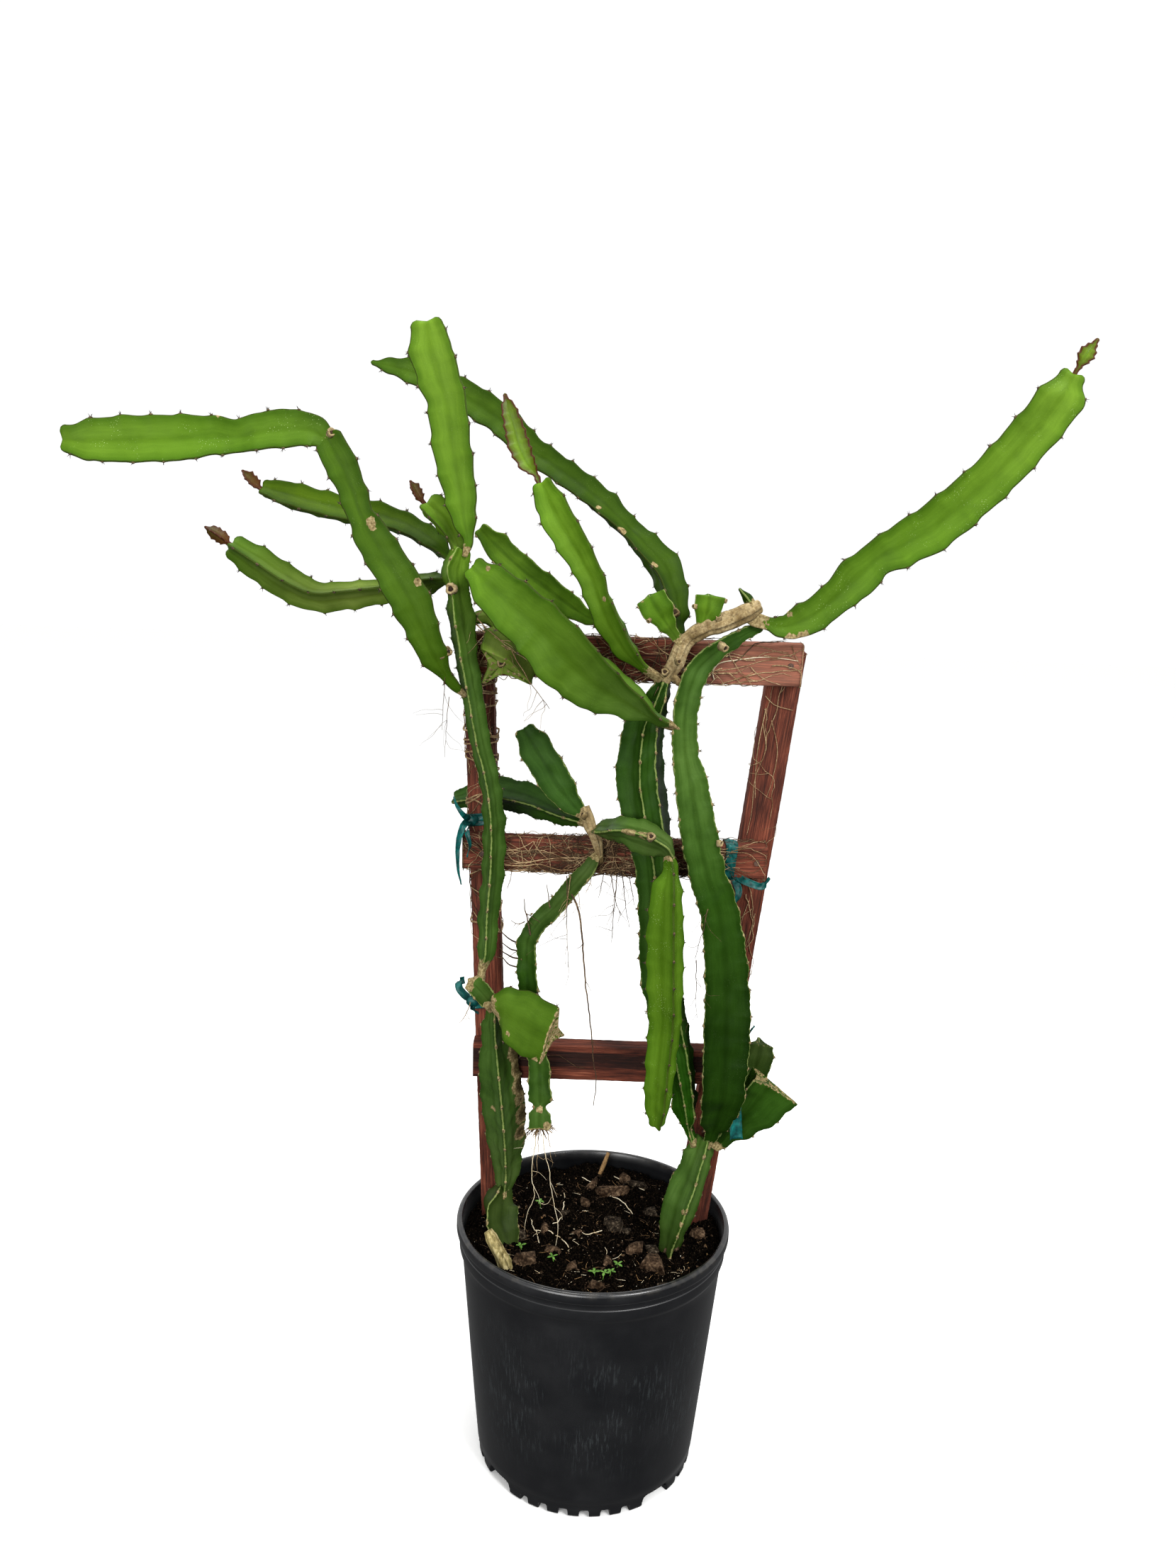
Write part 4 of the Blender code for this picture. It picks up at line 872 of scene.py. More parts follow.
greens = dict(
    pitch="#193007", bottle="#213c0c", holly="#2f460a", ivy="#2c4a13", pine="#34511e", laurel="#2f6010",
    moss="#35431d", fern="#425c27", leaf="#3d5812", olive="#40570b", sage="#4b5d30", lichen="#4e6a2f",
    dock="#49661b", grass="#4f7019", meadow="#56751e", moor="#71843a", apple="#5f7e23", lime="#688d25",
    bud="#6a3f24", rust="#54552a")
stemShape = dict(
    hollow=0.36, neckReach=7.0, neckFill=0.48, woodyHollow=0.88, faceSamples=7,
    spine=2.7, spineRadius=0.30, feltRadius=1.05, neckCork=13.0)
flankSteps = np.linspace(0, 1, stemShape["faceSamples"] + 1)
# by kind of stem: steps along it, from areole to areole, how far the margin swells, half the margin's
# thickness, unevenness, and the reaches between which teeth fade in (mm)
stemKinds = dict(
    young=dict(step=1.7, pitch=25.0, tooth=1.7, edge=1.25, uneven=0.30, fade=(5, 13)),
    old=dict(step=1.7, pitch=27.0, tooth=1.5, edge=1.15, uneven=0.55, fade=(5, 13)),
    shoot=dict(step=0.7, pitch=5.2, tooth=1.6, edge=0.55, uneven=0.10, fade=(1.5, 4)),
    woody=dict(step=1.7, pitch=1e6, tooth=0, edge=0, uneven=0.5, fade=(5, 13)))
stems = {
    "stem_a0": dict(roll=40, shade=("moss", "moss"), age=0.9, rows=[
        (-84, -30, 214, 8), (-88, -24, 236, 14), (-97, -14, 256, 21), (-99, -6, 270, 22), (-95, 0, 282, 13)]),
    "stem_a1": dict(roll=62, rollEnd=66, shade=("sage", "fern", "fern"), age=0.9, rows=[
        (-93, -2, 274, 5), (-91, 1, 301, 16), (-92, -8, 340, 23), (-94, -22, 378, 25),
        (-98, -36, 425, 23), (-103, -38, 469, 15), (-104, -43, 498, 8)]),
    "stem_a2": dict(roll=20, shade=("moss", "lichen"), age=0.9, cut=True, rows=[
        (-105, -43, 495, 6), (-112, -48, 508, 10), (-126, -52, 525, 10)]),
    "stem_a3": dict(roll=60, rollEnd=47, shade=("lichen", "fern", "fern", "lichen", "apple"), age=0.75,
                    neck=40, rows=[
        (-118, -50, 518, 4), (-116, -50, 535, 4), (-112, -50, 556, 10), (-111, -50, 591, 11),
        (-108, -53, 636, 12), (-108, -57, 681, 12), (-113, -61, 722, 11), (-121, -67, 755, 11),
        (-128, -76, 798, 11), (-134, -86, 836, 12), (-139, -92, 873, 14), (-142, -94, 893, 11),
        (-144, -95, 910, 15), (-139, -95, 926, 10)]),
    "stem_a4": dict(roll=0, shade=("leaf", "leaf"), age=0.3, rows=[
        (-133, -79, 800, 3), (-147, -91, 816, 6), (-161, -104, 843, 15), (-178, -111, 885, 20),
        (-207, -114, 932, 18), (-219, -114, 952, 13), (-227, -114, 975, 14), (-237, -114, 996, 16),
        (-246, -114, 1012, 13)]),
    "stem_a5": dict(roll=5, pitch=23.0, tooth=1.1, shade=("dock", "grass", "meadow"), age=0.1, fleck=0.8,
                    rows=[
        (-244, -114, 1008, 8), (-257, -116, 1017, 15), (-280, -120, 1017, 18), (-301, -126, 1013, 17),
        (-314, -129, 1009, 15), (-334, -134, 1008, 18), (-362, -142, 1004, 21), (-397, -150, 1001, 21),
        (-425, -157, 999, 19), (-443, -162, 999, 12)]),
    "stem_b2": dict(roll=-50, rollEnd=0, pitch=27.0, neck=26, shade=("lichen", "dock", "grass"), age=0.2,
                    rows=[
        (56, -82, 778, 4), (37, -101, 788, 6), (13, -107, 805, 20), (-16, -109, 823, 31),
        (-43, -110, 845, 34), (-65, -110, 865, 30), (-88, -110, 882, 27), (-109, -110, 898, 22),
        (-124, -110, 911, 13)]),
    "stem_b3": dict(roll=-6, shade=("grass", "meadow", "apple"), age=0.1, rows=[
        (-134, -97, 921, 3), (-131, -98, 934, 5), (-134, -98, 950, 12), (-137, -98, 971, 16),
        (-144, -98, 1008, 19), (-150, -98, 1048, 19), (-157, -98, 1068, 21), (-163, -98, 1087, 21),
        (-167, -98, 1107, 16)]),
    "stem_b4": dict(roll=38, shade=("moor", "meadow", "apple"), shootShade=("bud", "rust"), age=0.1, rows=[
        (-141, -94, 917, 3), (-144, -86, 932, 8), (-155, -82, 951, 15), (-168, -80, 962, 14)],
        shoot=[(-168, -80, 961, 2), (-173, -79, 966, 2.2), (-177, -79, 971, 5.5), (-181, -79, 978, 5.5),
               (-184, -79, 983, 1.5)]),
    "stem_b5": dict(roll=35, shade=("leaf", "olive", "olive"), shootShade=("bud", "rust"), age=0.1,
                    rows=[
        (-142, -93, 912, 3), (-150, -82, 920, 5), (-166, -64, 932, 12), (-194, -50, 946, 13),
        (-222, -42, 953, 15), (-250, -38, 957, 15), (-276, -36, 962, 15), (-301, -34, 968, 15),
        (-322, -34, 974, 10)],
        shoot=[(-320, -34, 973, 2), (-326, -33, 975, 2.2), (-331, -33, 979, 6), (-337, -33, 985, 6),
               (-342, -33, 990, 1.5)]),
    "stem_b6": dict(roll=75, rollEnd=65, shade=("dock", "moor", "dock"), shootShade=("bud", "rust"), age=0.2,
                    rows=[
        (-142, -93, 902, 3), (-150, -84, 901, 4), (-171, -67, 898, 11), (-209, -51, 890, 13),
        (-248, -44, 884, 15), (-275, -44, 882, 16), (-299, -46, 892, 18), (-324, -48, 908, 18),
        (-346, -50, 922, 14)],
        shoot=[(-344, -50, 921, 2), (-350, -50, 925, 2.4), (-356, -50, 930, 7), (-364, -50, 935, 7),
               (-371, -50, 939, 1.5)]),
    "stem_b7": dict(roll=0, shade=("lime", "lime", "apple"), age=0.3, rows=[
        (-7, -73, 869, 4), (-15, -58, 869, 5), (-27, -46, 872, 8), (-42, -38, 880, 12), (-66, -33, 896, 14),
        (-90, -30, 913, 14), (-112, -28, 932, 14), (-127, -28, 946, 8)]),
    "stem_c0": dict(roll=62, shade=("moss", "fern", "lichen"), age=1.0, rows=[
        (72, -34, 218, 7), (79, -31, 246, 13), (86, -29, 276, 20), (91, -27, 295, 21), (98, -22, 313, 19),
        (104, -18, 334, 17), (109, -15, 351, 15)]),
    # partly painted light and shade: the green is darkest low down, where the stem lies in shade, and
    # lightest at three quarters of its length, where a wing faces the light
    "stem_c1": dict(roll=0, rollEnd=15, shade=("bottle", "pitch", "ivy", "lichen", "pine"), age=0.8,
                    tooth=1.0, rows=[
        (111, -17, 346, 5), (115, -20, 364, 8), (117, -30, 385, 18), (119, -46, 422, 24), (118, -50, 481, 26),
        (114, -53, 545, 24), (103, -60, 606, 21), (92, -64, 636, 20), (82, -68, 670, 20),
        (71, -72, 721, 18), (63, -77, 757, 14), (61, -80, 792, 13), (68, -81, 827, 13),
        (80, -82, 843, 11), (96, -81, 855, 9), (111, -77, 864, 7), (124, -74, 870, 5)]),
    "stem_d1": dict(roll=0, rollEnd=-10, pitch=30.0, neck=30, shade=("dock", "grass", "apple"), age=0.1,
                    fleck=0.6, rows=[
        (110, -83, 880, 6), (120, -80, 876, 7), (131, -77, 873, 7), (142, -75, 871, 11), (153, -74, 873, 15),
        (165, -75, 879, 17), (176, -76, 887, 17), (187, -77, 897, 17),
        (203, -79, 914, 21), (221, -82, 932, 18), (244, -86, 946, 22), (266, -90, 961, 23),
        (305, -98, 999, 22), (339, -105, 1042, 22), (354, -108, 1065, 22), (362, -110, 1083, 13)],
        shoot=[(361, -110, 1081, 2), (366, -110, 1089, 2.4), (372, -110, 1101, 8), (380, -110, 1113, 2)]),
    "stem_e1": dict(roll=0, shade=("moor", "meadow", "grass"), age=0.2, cut=True, callus=0.3, rows=[
        (56, -90, 852, 4), (46, -94, 864, 6), (40, -96, 872, 10), (32, -98, 883, 16), (26, -99, 893, 15)]),
    "stem_e2": dict(roll=47, rollEnd=0, shade=("holly", "holly", "dock"), age=0.4, rows=[
        (57, -86, 852, 4), (52, -78, 868, 6), (50, -72, 880, 13), (45, -65, 898, 16), (36, -56, 918, 18),
        (19, -46, 937, 15), (6, -38, 950, 12), (-20, -26, 973, 15), (-64, -8, 1004, 15),
        (-87, 0, 1019, 16), (-112, 6, 1043, 17), (-144, 10, 1063, 17), (-169, 10, 1076, 15),
        (-196, 8, 1086, 13), (-214, 6, 1090, 9), (-232, 4, 1093, 3)]),
    "stem_e3": dict(roll=0, shade=("meadow", "meadow"), age=0.2, cut=True, callus=0.0, rows=[
        (74, -90, 863, 4), (74, -91, 874, 8), (76, -93, 884, 13), (77, -94, 895, 15)]),
    "stem_e4": dict(roll=60, shade=("holly", "holly"), age=0.2, rows=[
        (117, -81, 885, 6), (112, -82, 893, 5), (104, -83, 902, 1.5)]),
    "stem_f1": dict(roll=-40, rollEnd=-20, neck=24, shade=("meadow", "meadow", "lime"), age=0.1, rows=[
        (40, -81, 821, 5), (24, -82, 831, 5), (8, -82, 848, 12), (-6, -81, 870, 15), (-15, -80, 888, 14),
        (-22, -78, 907, 15), (-39, -77, 936, 17), (-50, -77, 952, 18), (-60, -77, 969, 17),
        (-69, -77, 985, 11)]),
    "stem_f2": dict(roll=0, shade=("lime", "lime"), age=0.0, allShoot=True, pitch=8.5, rows=[
        (-72, -77, 981, 2), (-76, -77, 992, 3), (-84, -78, 1002, 9), (-91, -79, 1016, 11),
        (-95, -80, 1029, 10), (-100, -81, 1044, 8), (-104, -81, 1057, 2)]),
    "stem_g1": dict(roll=0, wings=(-72, -8, 26, 130), fills=(1.6, 2.35, 1.4, 1.0), age=0.8,
                    shade=("laurel", "pine", "ivy"), rows=[
        (99, -14, 346, 4), (93, -17, 364, 5), (87, -31, 399, 15), (76, -43, 449, 19), (63, -44, 502, 21),
        (54, -44, 543, 21), (50, -54, 588, 20), (44, -66, 648, 21), (33, -62, 702, 26),
        (28, -61, 732, 26), (29, -65, 775, 22), (38, -75, 804, 13), (42, -78, 818, 8)]),
    "stem_h1": dict(roll=48, shade=("grass", "grass"), age=0.1, fleck=0.8,
                    rows=[
        (51, -103, 672, 4), (55, -104, 655, 8), (54, -105, 633, 17), (55, -105, 593, 20), (57, -103, 551, 20),
        (59, -100, 508, 18), (57, -97, 463, 17), (56, -95, 427, 15), (55, -94, 406, 9)]),
    "stem_i1": dict(roll=45, shade=("sage", "lichen", "sage"), age=0.6, rows=[
        (-15, -49, 675, 5), (-4, -68, 680, 12), (14, -95, 685, 16), (32, -103, 682, 18), (47, -104, 675, 13),
        (54, -103, 667, 6)]),
    "stem_j1": dict(roll=0, shade=("pine", "pine"), age=0.5, rows=[
        (-22, -46, 686, 4), (-36, -44, 700, 12), (-48, -43, 715, 17), (-59, -42, 732, 18),
        (-71, -40, 750, 18), (-81, -38, 765, 12)]),
    "stem_j2": dict(roll=62, shade=("ivy", "ivy", "pine"), age=0.7, rows=[
        (-21, -46, 680, 4), (-50, -26, 686, 13), (-79, -4, 692, 18), (-106, 16, 693, 19),
        (-130, 24, 690, 17), (-151, 29, 684, 11)]),
    "stem_l1": dict(roll=30, rollEnd=0, shade=("sage", "ivy", "fern"), age=0.8, cut=True, rows=[
        (-8, -48, 653, 5), (-19, -52, 637, 9), (-33, -47, 618, 10), (-45, -43, 601, 10), (-62, -38, 582, 11),
        (-72, -36, 564, 11), (-73, -34, 544, 11), (-71, -34, 516, 12), (-67, -35, 480, 12),
        (-59, -36, 439, 12), (-57, -36, 402, 13), (-57, -36, 393, 7), (-57, -36, 386, 13),
        (-57, -36, 371, 12)]),
    "stem_m1": dict(roll=0, wings=(75, 165, 273), reaches=(1.15, 0.9, 1.0), shade=("dock", "leaf"),
                    age=0.3, cut=True, callus=0.6, rows=[
        (-104, -50, 497, 5), (-98, -55, 500, 16), (-88, -62, 501, 23), (-74, -71, 498, 27),
        (-59, -82, 494, 27), (-46, -91, 491, 26)]),
    "stem_n1": dict(roll=0, wings=(75, 215, 320), reaches=(1.3, 0.8, 1.0), shade=("bottle", "ivy"),
                    age=0.5, cut=True, callus=0.5, rows=[
        (118, -14, 345, 5), (128, -14, 358, 9), (138, -14, 373, 17), (151, -15, 394, 25),
        (166, -16, 419, 29)]),
    "stem_n2": dict(roll=0, shade=("bottle", "moss"), age=0.6, cut=True, callus=0.3, rows=[
        (148, -8, 386, 6), (155, 3, 408, 14), (160, 5, 438, 17), (162, 5, 450, 15)]),
    # partly painted light: its green is lighter than the stem's own, where the stem lies in shade
    "stem_p1": dict(roll=0, wings=(45, 150, 235), reaches=(0.9, 1.05, 1.2), shade=("moor", "moor"), age=0.4,
                    cut=True, callus=0.35, neck=4, rows=[
        (-134, -80, 864, 4), (-120, -66, 868, 7), (-106, -60, 864, 15), (-100, -68, 852, 25),
        (-100, -80, 840, 28), (-101, -92, 829, 29)]),
    "wood_w": dict(roll=0, woody=True, cracks=(0.58, 0.76, 0.40), rows=[
        (42, -80, 820, 6), (51, -85, 836, 8), (58, -88, 854, 8), (73, -91, 866, 8.5),
        (91, -89, 873, 9.5), (107, -85, 880, 9.5), (121, -79, 887, 7)]),
    "wood_k": dict(roll=0, woody=True, rows=[
        (-24, -45, 697, 5.5), (-19, -48, 682, 6.5), (-12, -49, 666, 5.5), (-7, -50, 646, 3)]),
    "cutting_dead": dict(roll=60, woody=True, cut=True, rows=[
        (-78, -70, 222, 5), (-86, -66, 240, 8), (-100, -58, 262, 7), (-104, -56, 268, 5)]),
}
# scars and corky patches on a stem: near where, and how far they reach (mm); above 9 mm they are dead tissue
scars = dict(
    stem_a1=((-76, -12, 452, 13), (-84, -16, 430, 12), (-76, -8, 412, 14), (-84, -14, 392, 11),
             (-76, -6, 372, 13), (-78, -4, 350, 10), (-99, -25, 386, 4)),
    stem_a2=((-110, -52, 500, 6), (-128, -58, 522, 6)),
    stem_a3=((-148, -108, 893, 5), (-118, -60, 735, 3)),
    stem_a4=((-211, -128, 946, 5), (-209, -127, 941, 3), (-154, -112, 868, 3.5), (-170, -120, 898, 4),
             (-178, -112, 858, 4), (-182, -114, 866, 3), (-169, -100, 834, 5)),
    stem_a5=((-244, -128, 1014, 4), (-330, -140, 1027, 2.5)), stem_c0=((82, -50, 280, 3), (88, -46, 292, 3)),
    stem_d1=((225, -85, 919, 3), (152, -80, 858, 6), (163, -80, 862, 6), (148, -74, 886, 5),
             (160, -74, 893, 3)),
    stem_e2=((2, -62, 957, 5), (36, -75, 931, 4), (-20, -40, 973, 3)), stem_f1=((-16, -92, 888, 2.5),),
    stem_i1=((17, -112, 704, 8), (30, -114, 690, 6)), stem_j1=((-98, -40, 763, 3),),
    stem_m1=((-64, -98, 464, 4), (-90, -78, 484, 3), (-99, -60, 494, 4)),
    stem_l1=((-57, -46, 392, 4), (-50, -44, 376, 5)),
    stem_b2=((-111, -116, 912, 2.5), (20, -115, 815, 2.5)))
# rings left where stems broke off: near where on the stem, radius and height (mm)
brokenRings = dict(
    stem_a5=(((-241, -130, 1016), 3.4, 1.2),), stem_a4=(((-152, -104, 838), 4.2, 7.0),),
    stem_a3=(((-148, -110, 893), 4.4, 1.8),), stem_c1=(((101, -84, 671), 2.8, 2.0),),
    stem_i1=(((36, -122, 690), 3.4, 3.0),), stem_e2=(((52, -90, 880), 3.8, 3.0),),
    stem_e1=(((26, -110, 872), 1.8, 1.2),), stem_p1=(((-101, -96, 829), 3.4, 1.2),),
    stem_e3=(((64, -100, 886), 2.0, 1.2), ((90, -100, 892), 1.8, 1.2)))


def toothed(q):
    # one wing's margin from an areole (0) tipwards to the next (1): a quick step in, then a slow swell out
    return np.where(q < 0.3, 1 - between(0.0, 0.3, q) ** 0.8, (np.clip(q - 0.3, 0, 1) / 0.7) ** 1.5)


def wingFlank(wingReach, bead, deep, half, bend):
    # one side of a wing, out and across: from the valley, halfway to the next wing, to the bead on its edge
    valley = np.stack([deep * math.cos(half), deep * math.sin(half)], axis=1)
    edge = np.stack([wingReach - bead, bead], axis=1)
    corner = (deep - bead * math.sin(half)) / max(math.cos(half), 0.05)
    corner = np.stack([np.clip(corner, 0, wingReach), bead], axis=1)
    middle = (edge + valley) / 2 * (1 - bend) + corner * bend
    ease = flankSteps[None, :, None]
    return ((1 - ease) ** 2 * valley[:, None] + 2 * ease * (1 - ease) * middle[:, None]
            + ease ** 2 * edge[:, None])


def wingSection(wingReach, bead, valleys, bend):
    # a wing's outline at each step: up one side from its valley, round the bead and down the other side
    flanks = [wingFlank(wingReach, bead, deep, half, bend) for deep, half in valleys]
    flanks[0][:, :, 1] *= -1
    noseTurn = np.radians([-45, 0, 45])
    nose = np.stack([(wingReach - bead)[:, None] + bead[:, None] * np.cos(noseTurn),
                     bead[:, None] * np.sin(noseTurn)], axis=2)
    return np.concatenate([flanks[0], nose, flanks[1][:, ::-1][:, :-1]], axis=1)


def stemEnd(reach, isCut):
    # rings that close the tip, as scale, shift ahead and lobes, and how far ahead their middle lies: a dry
    # cut, a blunt lobed tip with a dimple, or a point
    if isCut:
        spots = ((0.985, 0.5, 0), (0.93, 0.9, 0), (0.75, 0.2, 0), (0.45, -0.5, 0), (0.2, -0.7, 0))
        return [(scale, shift / max(reach, 1), lobe) for scale, shift, lobe in spots], -0.6 / max(reach, 1)
    if reach > 4:
        return ((0.94, 0.09, 0.03), (0.82, 0.16, 0.09), (0.64, 0.19, 0.12), (0.44, 0.17, 0.08),
                (0.22, 0.12, 0.02)), 0.08
    return ((0.6, 0.5, 0.0),), 0.8


def stemCork(design, points, along, total, baseReach, isGrown, isCut):
    # cork by place: the neck, scars and a dry cut
    neck = design.get("neck", stemShape["neckCork"])
    cork = between(neck, neck * 0.35, along) if isGrown else 0 * along
    cork = cork * (1 if baseReach < 7 else 0.4)
    if isCut:
        cork = np.maximum(cork, design.get("callus", 1.0) * between(total - 1.2, total + 0.2, along))
    for x, y, z, size in scars.get(design["name"], ()) if isGrown else ():
        nearest = points[np.argmin(np.linalg.norm(points[:-2] - (x, y, z), axis=1))]
        depth = 1.6 if size > 9 else 1.0
        away = np.linalg.norm(points - nearest, axis=1)
        cork = np.maximum(cork, depth * between(size * 1.3, size * 0.5, away))
    return cork


def stemTint(shades, share):
    # the stem's green from its base to its tip, on some stems with painted light and shade in it
    shades = [np.array(linear(greens[shade])[:3]) for shade in shades]
    spread = np.clip(share, 0, 1) ** (1.2 if len(shades) == 2 else 1.0)
    return np.stack([np.interp(spread, np.linspace(0, 1, len(shades)), [shade[c] for shade in shades])
                     for c in range(3)], axis=1)


def addStem(shape, design, rows, seed, kind):
    # kind is young, old, shoot or woody; finishes on the piece: 0 skin, 1 felt, 2 spine, 3 shoot skin,
    # 4 bark, 5 heartwood
    draw = np.random.default_rng(seed)
    usual = stemKinds[kind]
    line = smoothLine(rows, usual["step"])
    place, reach = line[:, :3], line[:, 3]
    count = len(place)
    along = np.concatenate([[0], np.cumsum(np.linalg.norm(np.diff(place, axis=0), axis=1))])
    total = along[-1]
    tangent, front, side = framesAlong(place)
    roll, rollEnd = design["roll"], design.get("rollEnd", design["roll"])
    turn = np.radians(roll + (rollEnd - roll) * (along / total))
    woody, isGrown = kind == "woody", kind in ("young", "old")
    # how far the hollows between wings lie from the middle; where a stem is thin they fill up
    if woody:
        hollow = reach * stemShape["woodyHollow"]
    elif kind == "shoot":
        hollow = reach * (0.26 + 0.5 * np.exp(-(reach / 2.4) ** 2))
    else:
        slim = np.exp(-(reach / stemShape["neckReach"]) ** 2)
        hollow = reach * (stemShape["hollow"] + stemShape["neckFill"] * slim)
    age = design.get("age", 0.5)
    edge = usual["edge"] + (0.35 * age if kind == "old" else 0)
    margin = np.where(woody, reach * 0.45, np.minimum(edge, reach * 0.35))
    pitch = usual["pitch"] * draw.uniform(0.97, 1.03)
    pitch = design.get("pitch", pitch)
    tooth = design.get("tooth", usual["tooth"])
    fade = between(*usual["fade"], reach)
    offsets = np.radians(design.get("wings", (60, 180, 300)))
    fills = design.get("fills", (1.0,) * len(offsets))
    reaches = design.get("reaches", (1.0,) * len(offsets))
    parts, edges, valleys, wings = [], [], [], []
    for wing, offset in enumerate(offsets):
        start = draw.uniform(-0.12, 0.12) + wing / 3 + 0.2
        q = np.mod(along / pitch - start, 1)
        away = np.minimum(q, 1 - q) * pitch
        wingReach = reach * reaches[wing] + fade * tooth * (toothed(q) - 0.42)
        wings.append((start, wingReach, away))
        cosine, sine = np.cos(turn + offset)[:, None], np.sin(turn + offset)[:, None]
        out, across = cosine * front + sine * side, -sine * front + cosine * side
        bead = margin * (1 + 0.35 * np.exp(-(away / 2.2) ** 2))
        beside, following = [], (wing + 1) % len(offsets)
        for other, fill in ((offsets[wing - 1], fills[wing - 1]), (offsets[following], fills[wing])):
            half = np.mod(other - offset, 2 * math.pi)
            half = min(half, 2 * math.pi - half) / 2
            beside.append((np.minimum(hollow * fill, reach * 0.94), half))
        section = wingSection(wingReach, bead, beside, 0.6 if woody else 0.34)
        parts.append(place[:, None] + section[:, :, :1] * out[:, None] + section[:, :, 1:] * across[:, None])
        edges.append(wingReach[:, None] - section[:, :, 0])
        inValley = np.concatenate([1 - flankSteps, [0, 0, 0], (1 - flankSteps)[::-1][:-1]])
        valleys.append(np.broadcast_to(inValley, section.shape[:2]))
    ring = np.concatenate(parts, axis=1)
    fromEdge = np.concatenate(edges, axis=1)
    valley = np.concatenate(valleys, axis=1)
    around = ring.shape[1]

    # the tip
    ends = []
    lastOffset, lastPlace, ahead = ring[-1] - place[-1], place[-1], tangent[-1]
    isCut = design.get("cut") and kind != "shoot"
    spots, middle = stemEnd(reach[-1], isCut)
    lobed = 1 - valley[-1]
    for scale, shift, lobe in spots:
        ends.append(lastPlace + lastOffset * scale + ahead * ((shift + lobe * lobed) * reach[-1])[:, None])
    points = np.vstack([ring.reshape(-1, 3)] + ends + [lastPlace + ahead * middle * reach[-1], place[0]])
    extra = len(ends)
    fromEdgeAll = np.concatenate([fromEdge.ravel(), np.tile(fromEdge[-1], extra), [9, 9]])
    valleyAll = np.concatenate([valley.ravel(), np.tile(valley[-1], extra), [1, 1]])
    alongFlat = np.concatenate([np.repeat(along, around), np.full(extra * around, total + 2), [total + 3, 0]])
    layers = count + extra
    faces = loft(layers, around) + fan(layers - 1, around, len(points) - 2)
    faces += fan(0, around, len(points) - 1, turned=True)

    # unevenness: slow swellings, fine knobs on old margins, and cracks round wood
    centre = np.concatenate([np.repeat(place, around, axis=0), np.tile(lastPlace, (extra * around, 1)),
                             [lastPlace, place[0]]])
    outward = unit(points - centre)
    bumpy = wobble(points, 17.0, seed + 5) * usual["uneven"]
    if kind == "old":
        nearEdge = between(3.0, 0.8, fromEdgeAll)
        bumpy = bumpy + nearEdge * wobble(points, 4.2, seed + 6) * 0.55 * age
    if woody:
        for at in design.get("cracks", ()):
            ragged = np.abs(alongFlat - at * total + wobble(points, 7.0, seed + 7) * 2.5)
            bumpy = bumpy - 1.3 * np.exp(-(ragged / 0.8) ** 2)
    points = points + outward * bumpy[:, None]

    # the values that the skin reads off the mesh
    cork = stemCork(design, points, alongFlat, total, reach[0], isGrown, isCut)
    tint = stemTint(design.get("shade", ("moss", "moss")), alongFlat / total)
    # cork along old edges is thickest at the areoles
    edgeCork = np.zeros(len(points))
    if kind == "old":
        peaks = [np.repeat(away[:, None], around // len(offsets), axis=1) for _, _, away in wings]
        peaks = np.concatenate(peaks, axis=1)
        edgeCork[:peaks.size] = age * (0.08 + 0.75 * np.exp(-(peaks.ravel() / 3.0) ** 2))
    growth = np.stack([cork, edgeCork, np.full(len(points), design.get("fleck", 0.12))], axis=1)
    skin = np.stack([fromEdgeAll, alongFlat + seed * 37, valleyAll], axis=1)
    shape.add(points, faces, 3 if kind == "shoot" else 0, skin=skin, growth=growth, tint=tint)

    # areoles: a felt pad and a few spines on each crest
    if isGrown:
        for offset, (start, wingReach, _) in zip(offsets, wings):
            for k in range(-1, int(total / pitch) + 2):
                at = (start + k) * pitch
                if not 7 < at < total - 1 or np.interp(at, along, reach) < 5.5:
                    continue
                here = np.array([np.interp(at, along, column) for column in place.T])
                i = int(np.searchsorted(along, at).clip(0, count - 1))
                out = np.cos(turn[i] + offset) * front[i] + np.sin(turn[i] + offset) * side[i]
                addAreole(shape, here + out * (np.interp(at, along, wingReach) + 0.1), out, tangent[i], draw,
                          1.0 if kind == "young" else 0.85)
        for near, radius, length in brokenRings.get(design["name"], ()):
            k = int(np.argmin(np.linalg.norm(points[:-2] - near, axis=1)))
            addStub(shape, points[k], np.array(near) - centre[k], radius, length, 4, 5)


def addAreole(shape, base, out, ahead, draw, length):
    across = np.cross(out, ahead)
    sides = 7
    radius = stemShape["feltRadius"] * draw.uniform(0.75, 1.1)
    levels = ((1.0, -0.5), (1.0, 0.1), (0.72, 0.55), (0.3, 0.75))
    points = [base + out * lift * radius * 0.8
              + (ahead * math.cos(a) * 1.5 + across * math.sin(a)) * radius * scale
              for scale, lift in levels for a in evenTurns(sides)]
    points.append(base + out * radius * 0.68)
    faces = loft(len(levels), sides) + fan(len(levels) - 1, sides, len(points) - 1) + [footFace(sides)]
    shape.add(points, faces, 1)
    for _ in range(draw.integers(3, 5)):
        lean = ahead * draw.uniform(-0.9, 1.0) + across * draw.uniform(-0.8, 0.8)
        direction = out * 0.95 + lean
        direction /= np.linalg.norm(direction)
        reachOut = direction * (stemShape["spine"] * draw.uniform(0.7, 1.25) * length)
        foot, radius = base + out * 0.2 + lean * 0.35, stemShape["spineRadius"]
        rows = [(*foot, radius), (*(foot + reachOut * 0.5), radius * 0.72), (*(foot + reachOut), 0.05)]
        addTube(shape, rows, sides=4, step=2.0, finish=2)


youngStems = {"stem_" + name for name in "a4 a5 b2 b3 b4 b5 b6 d1 e2 f1 f2 h1 m1 p1".split()}


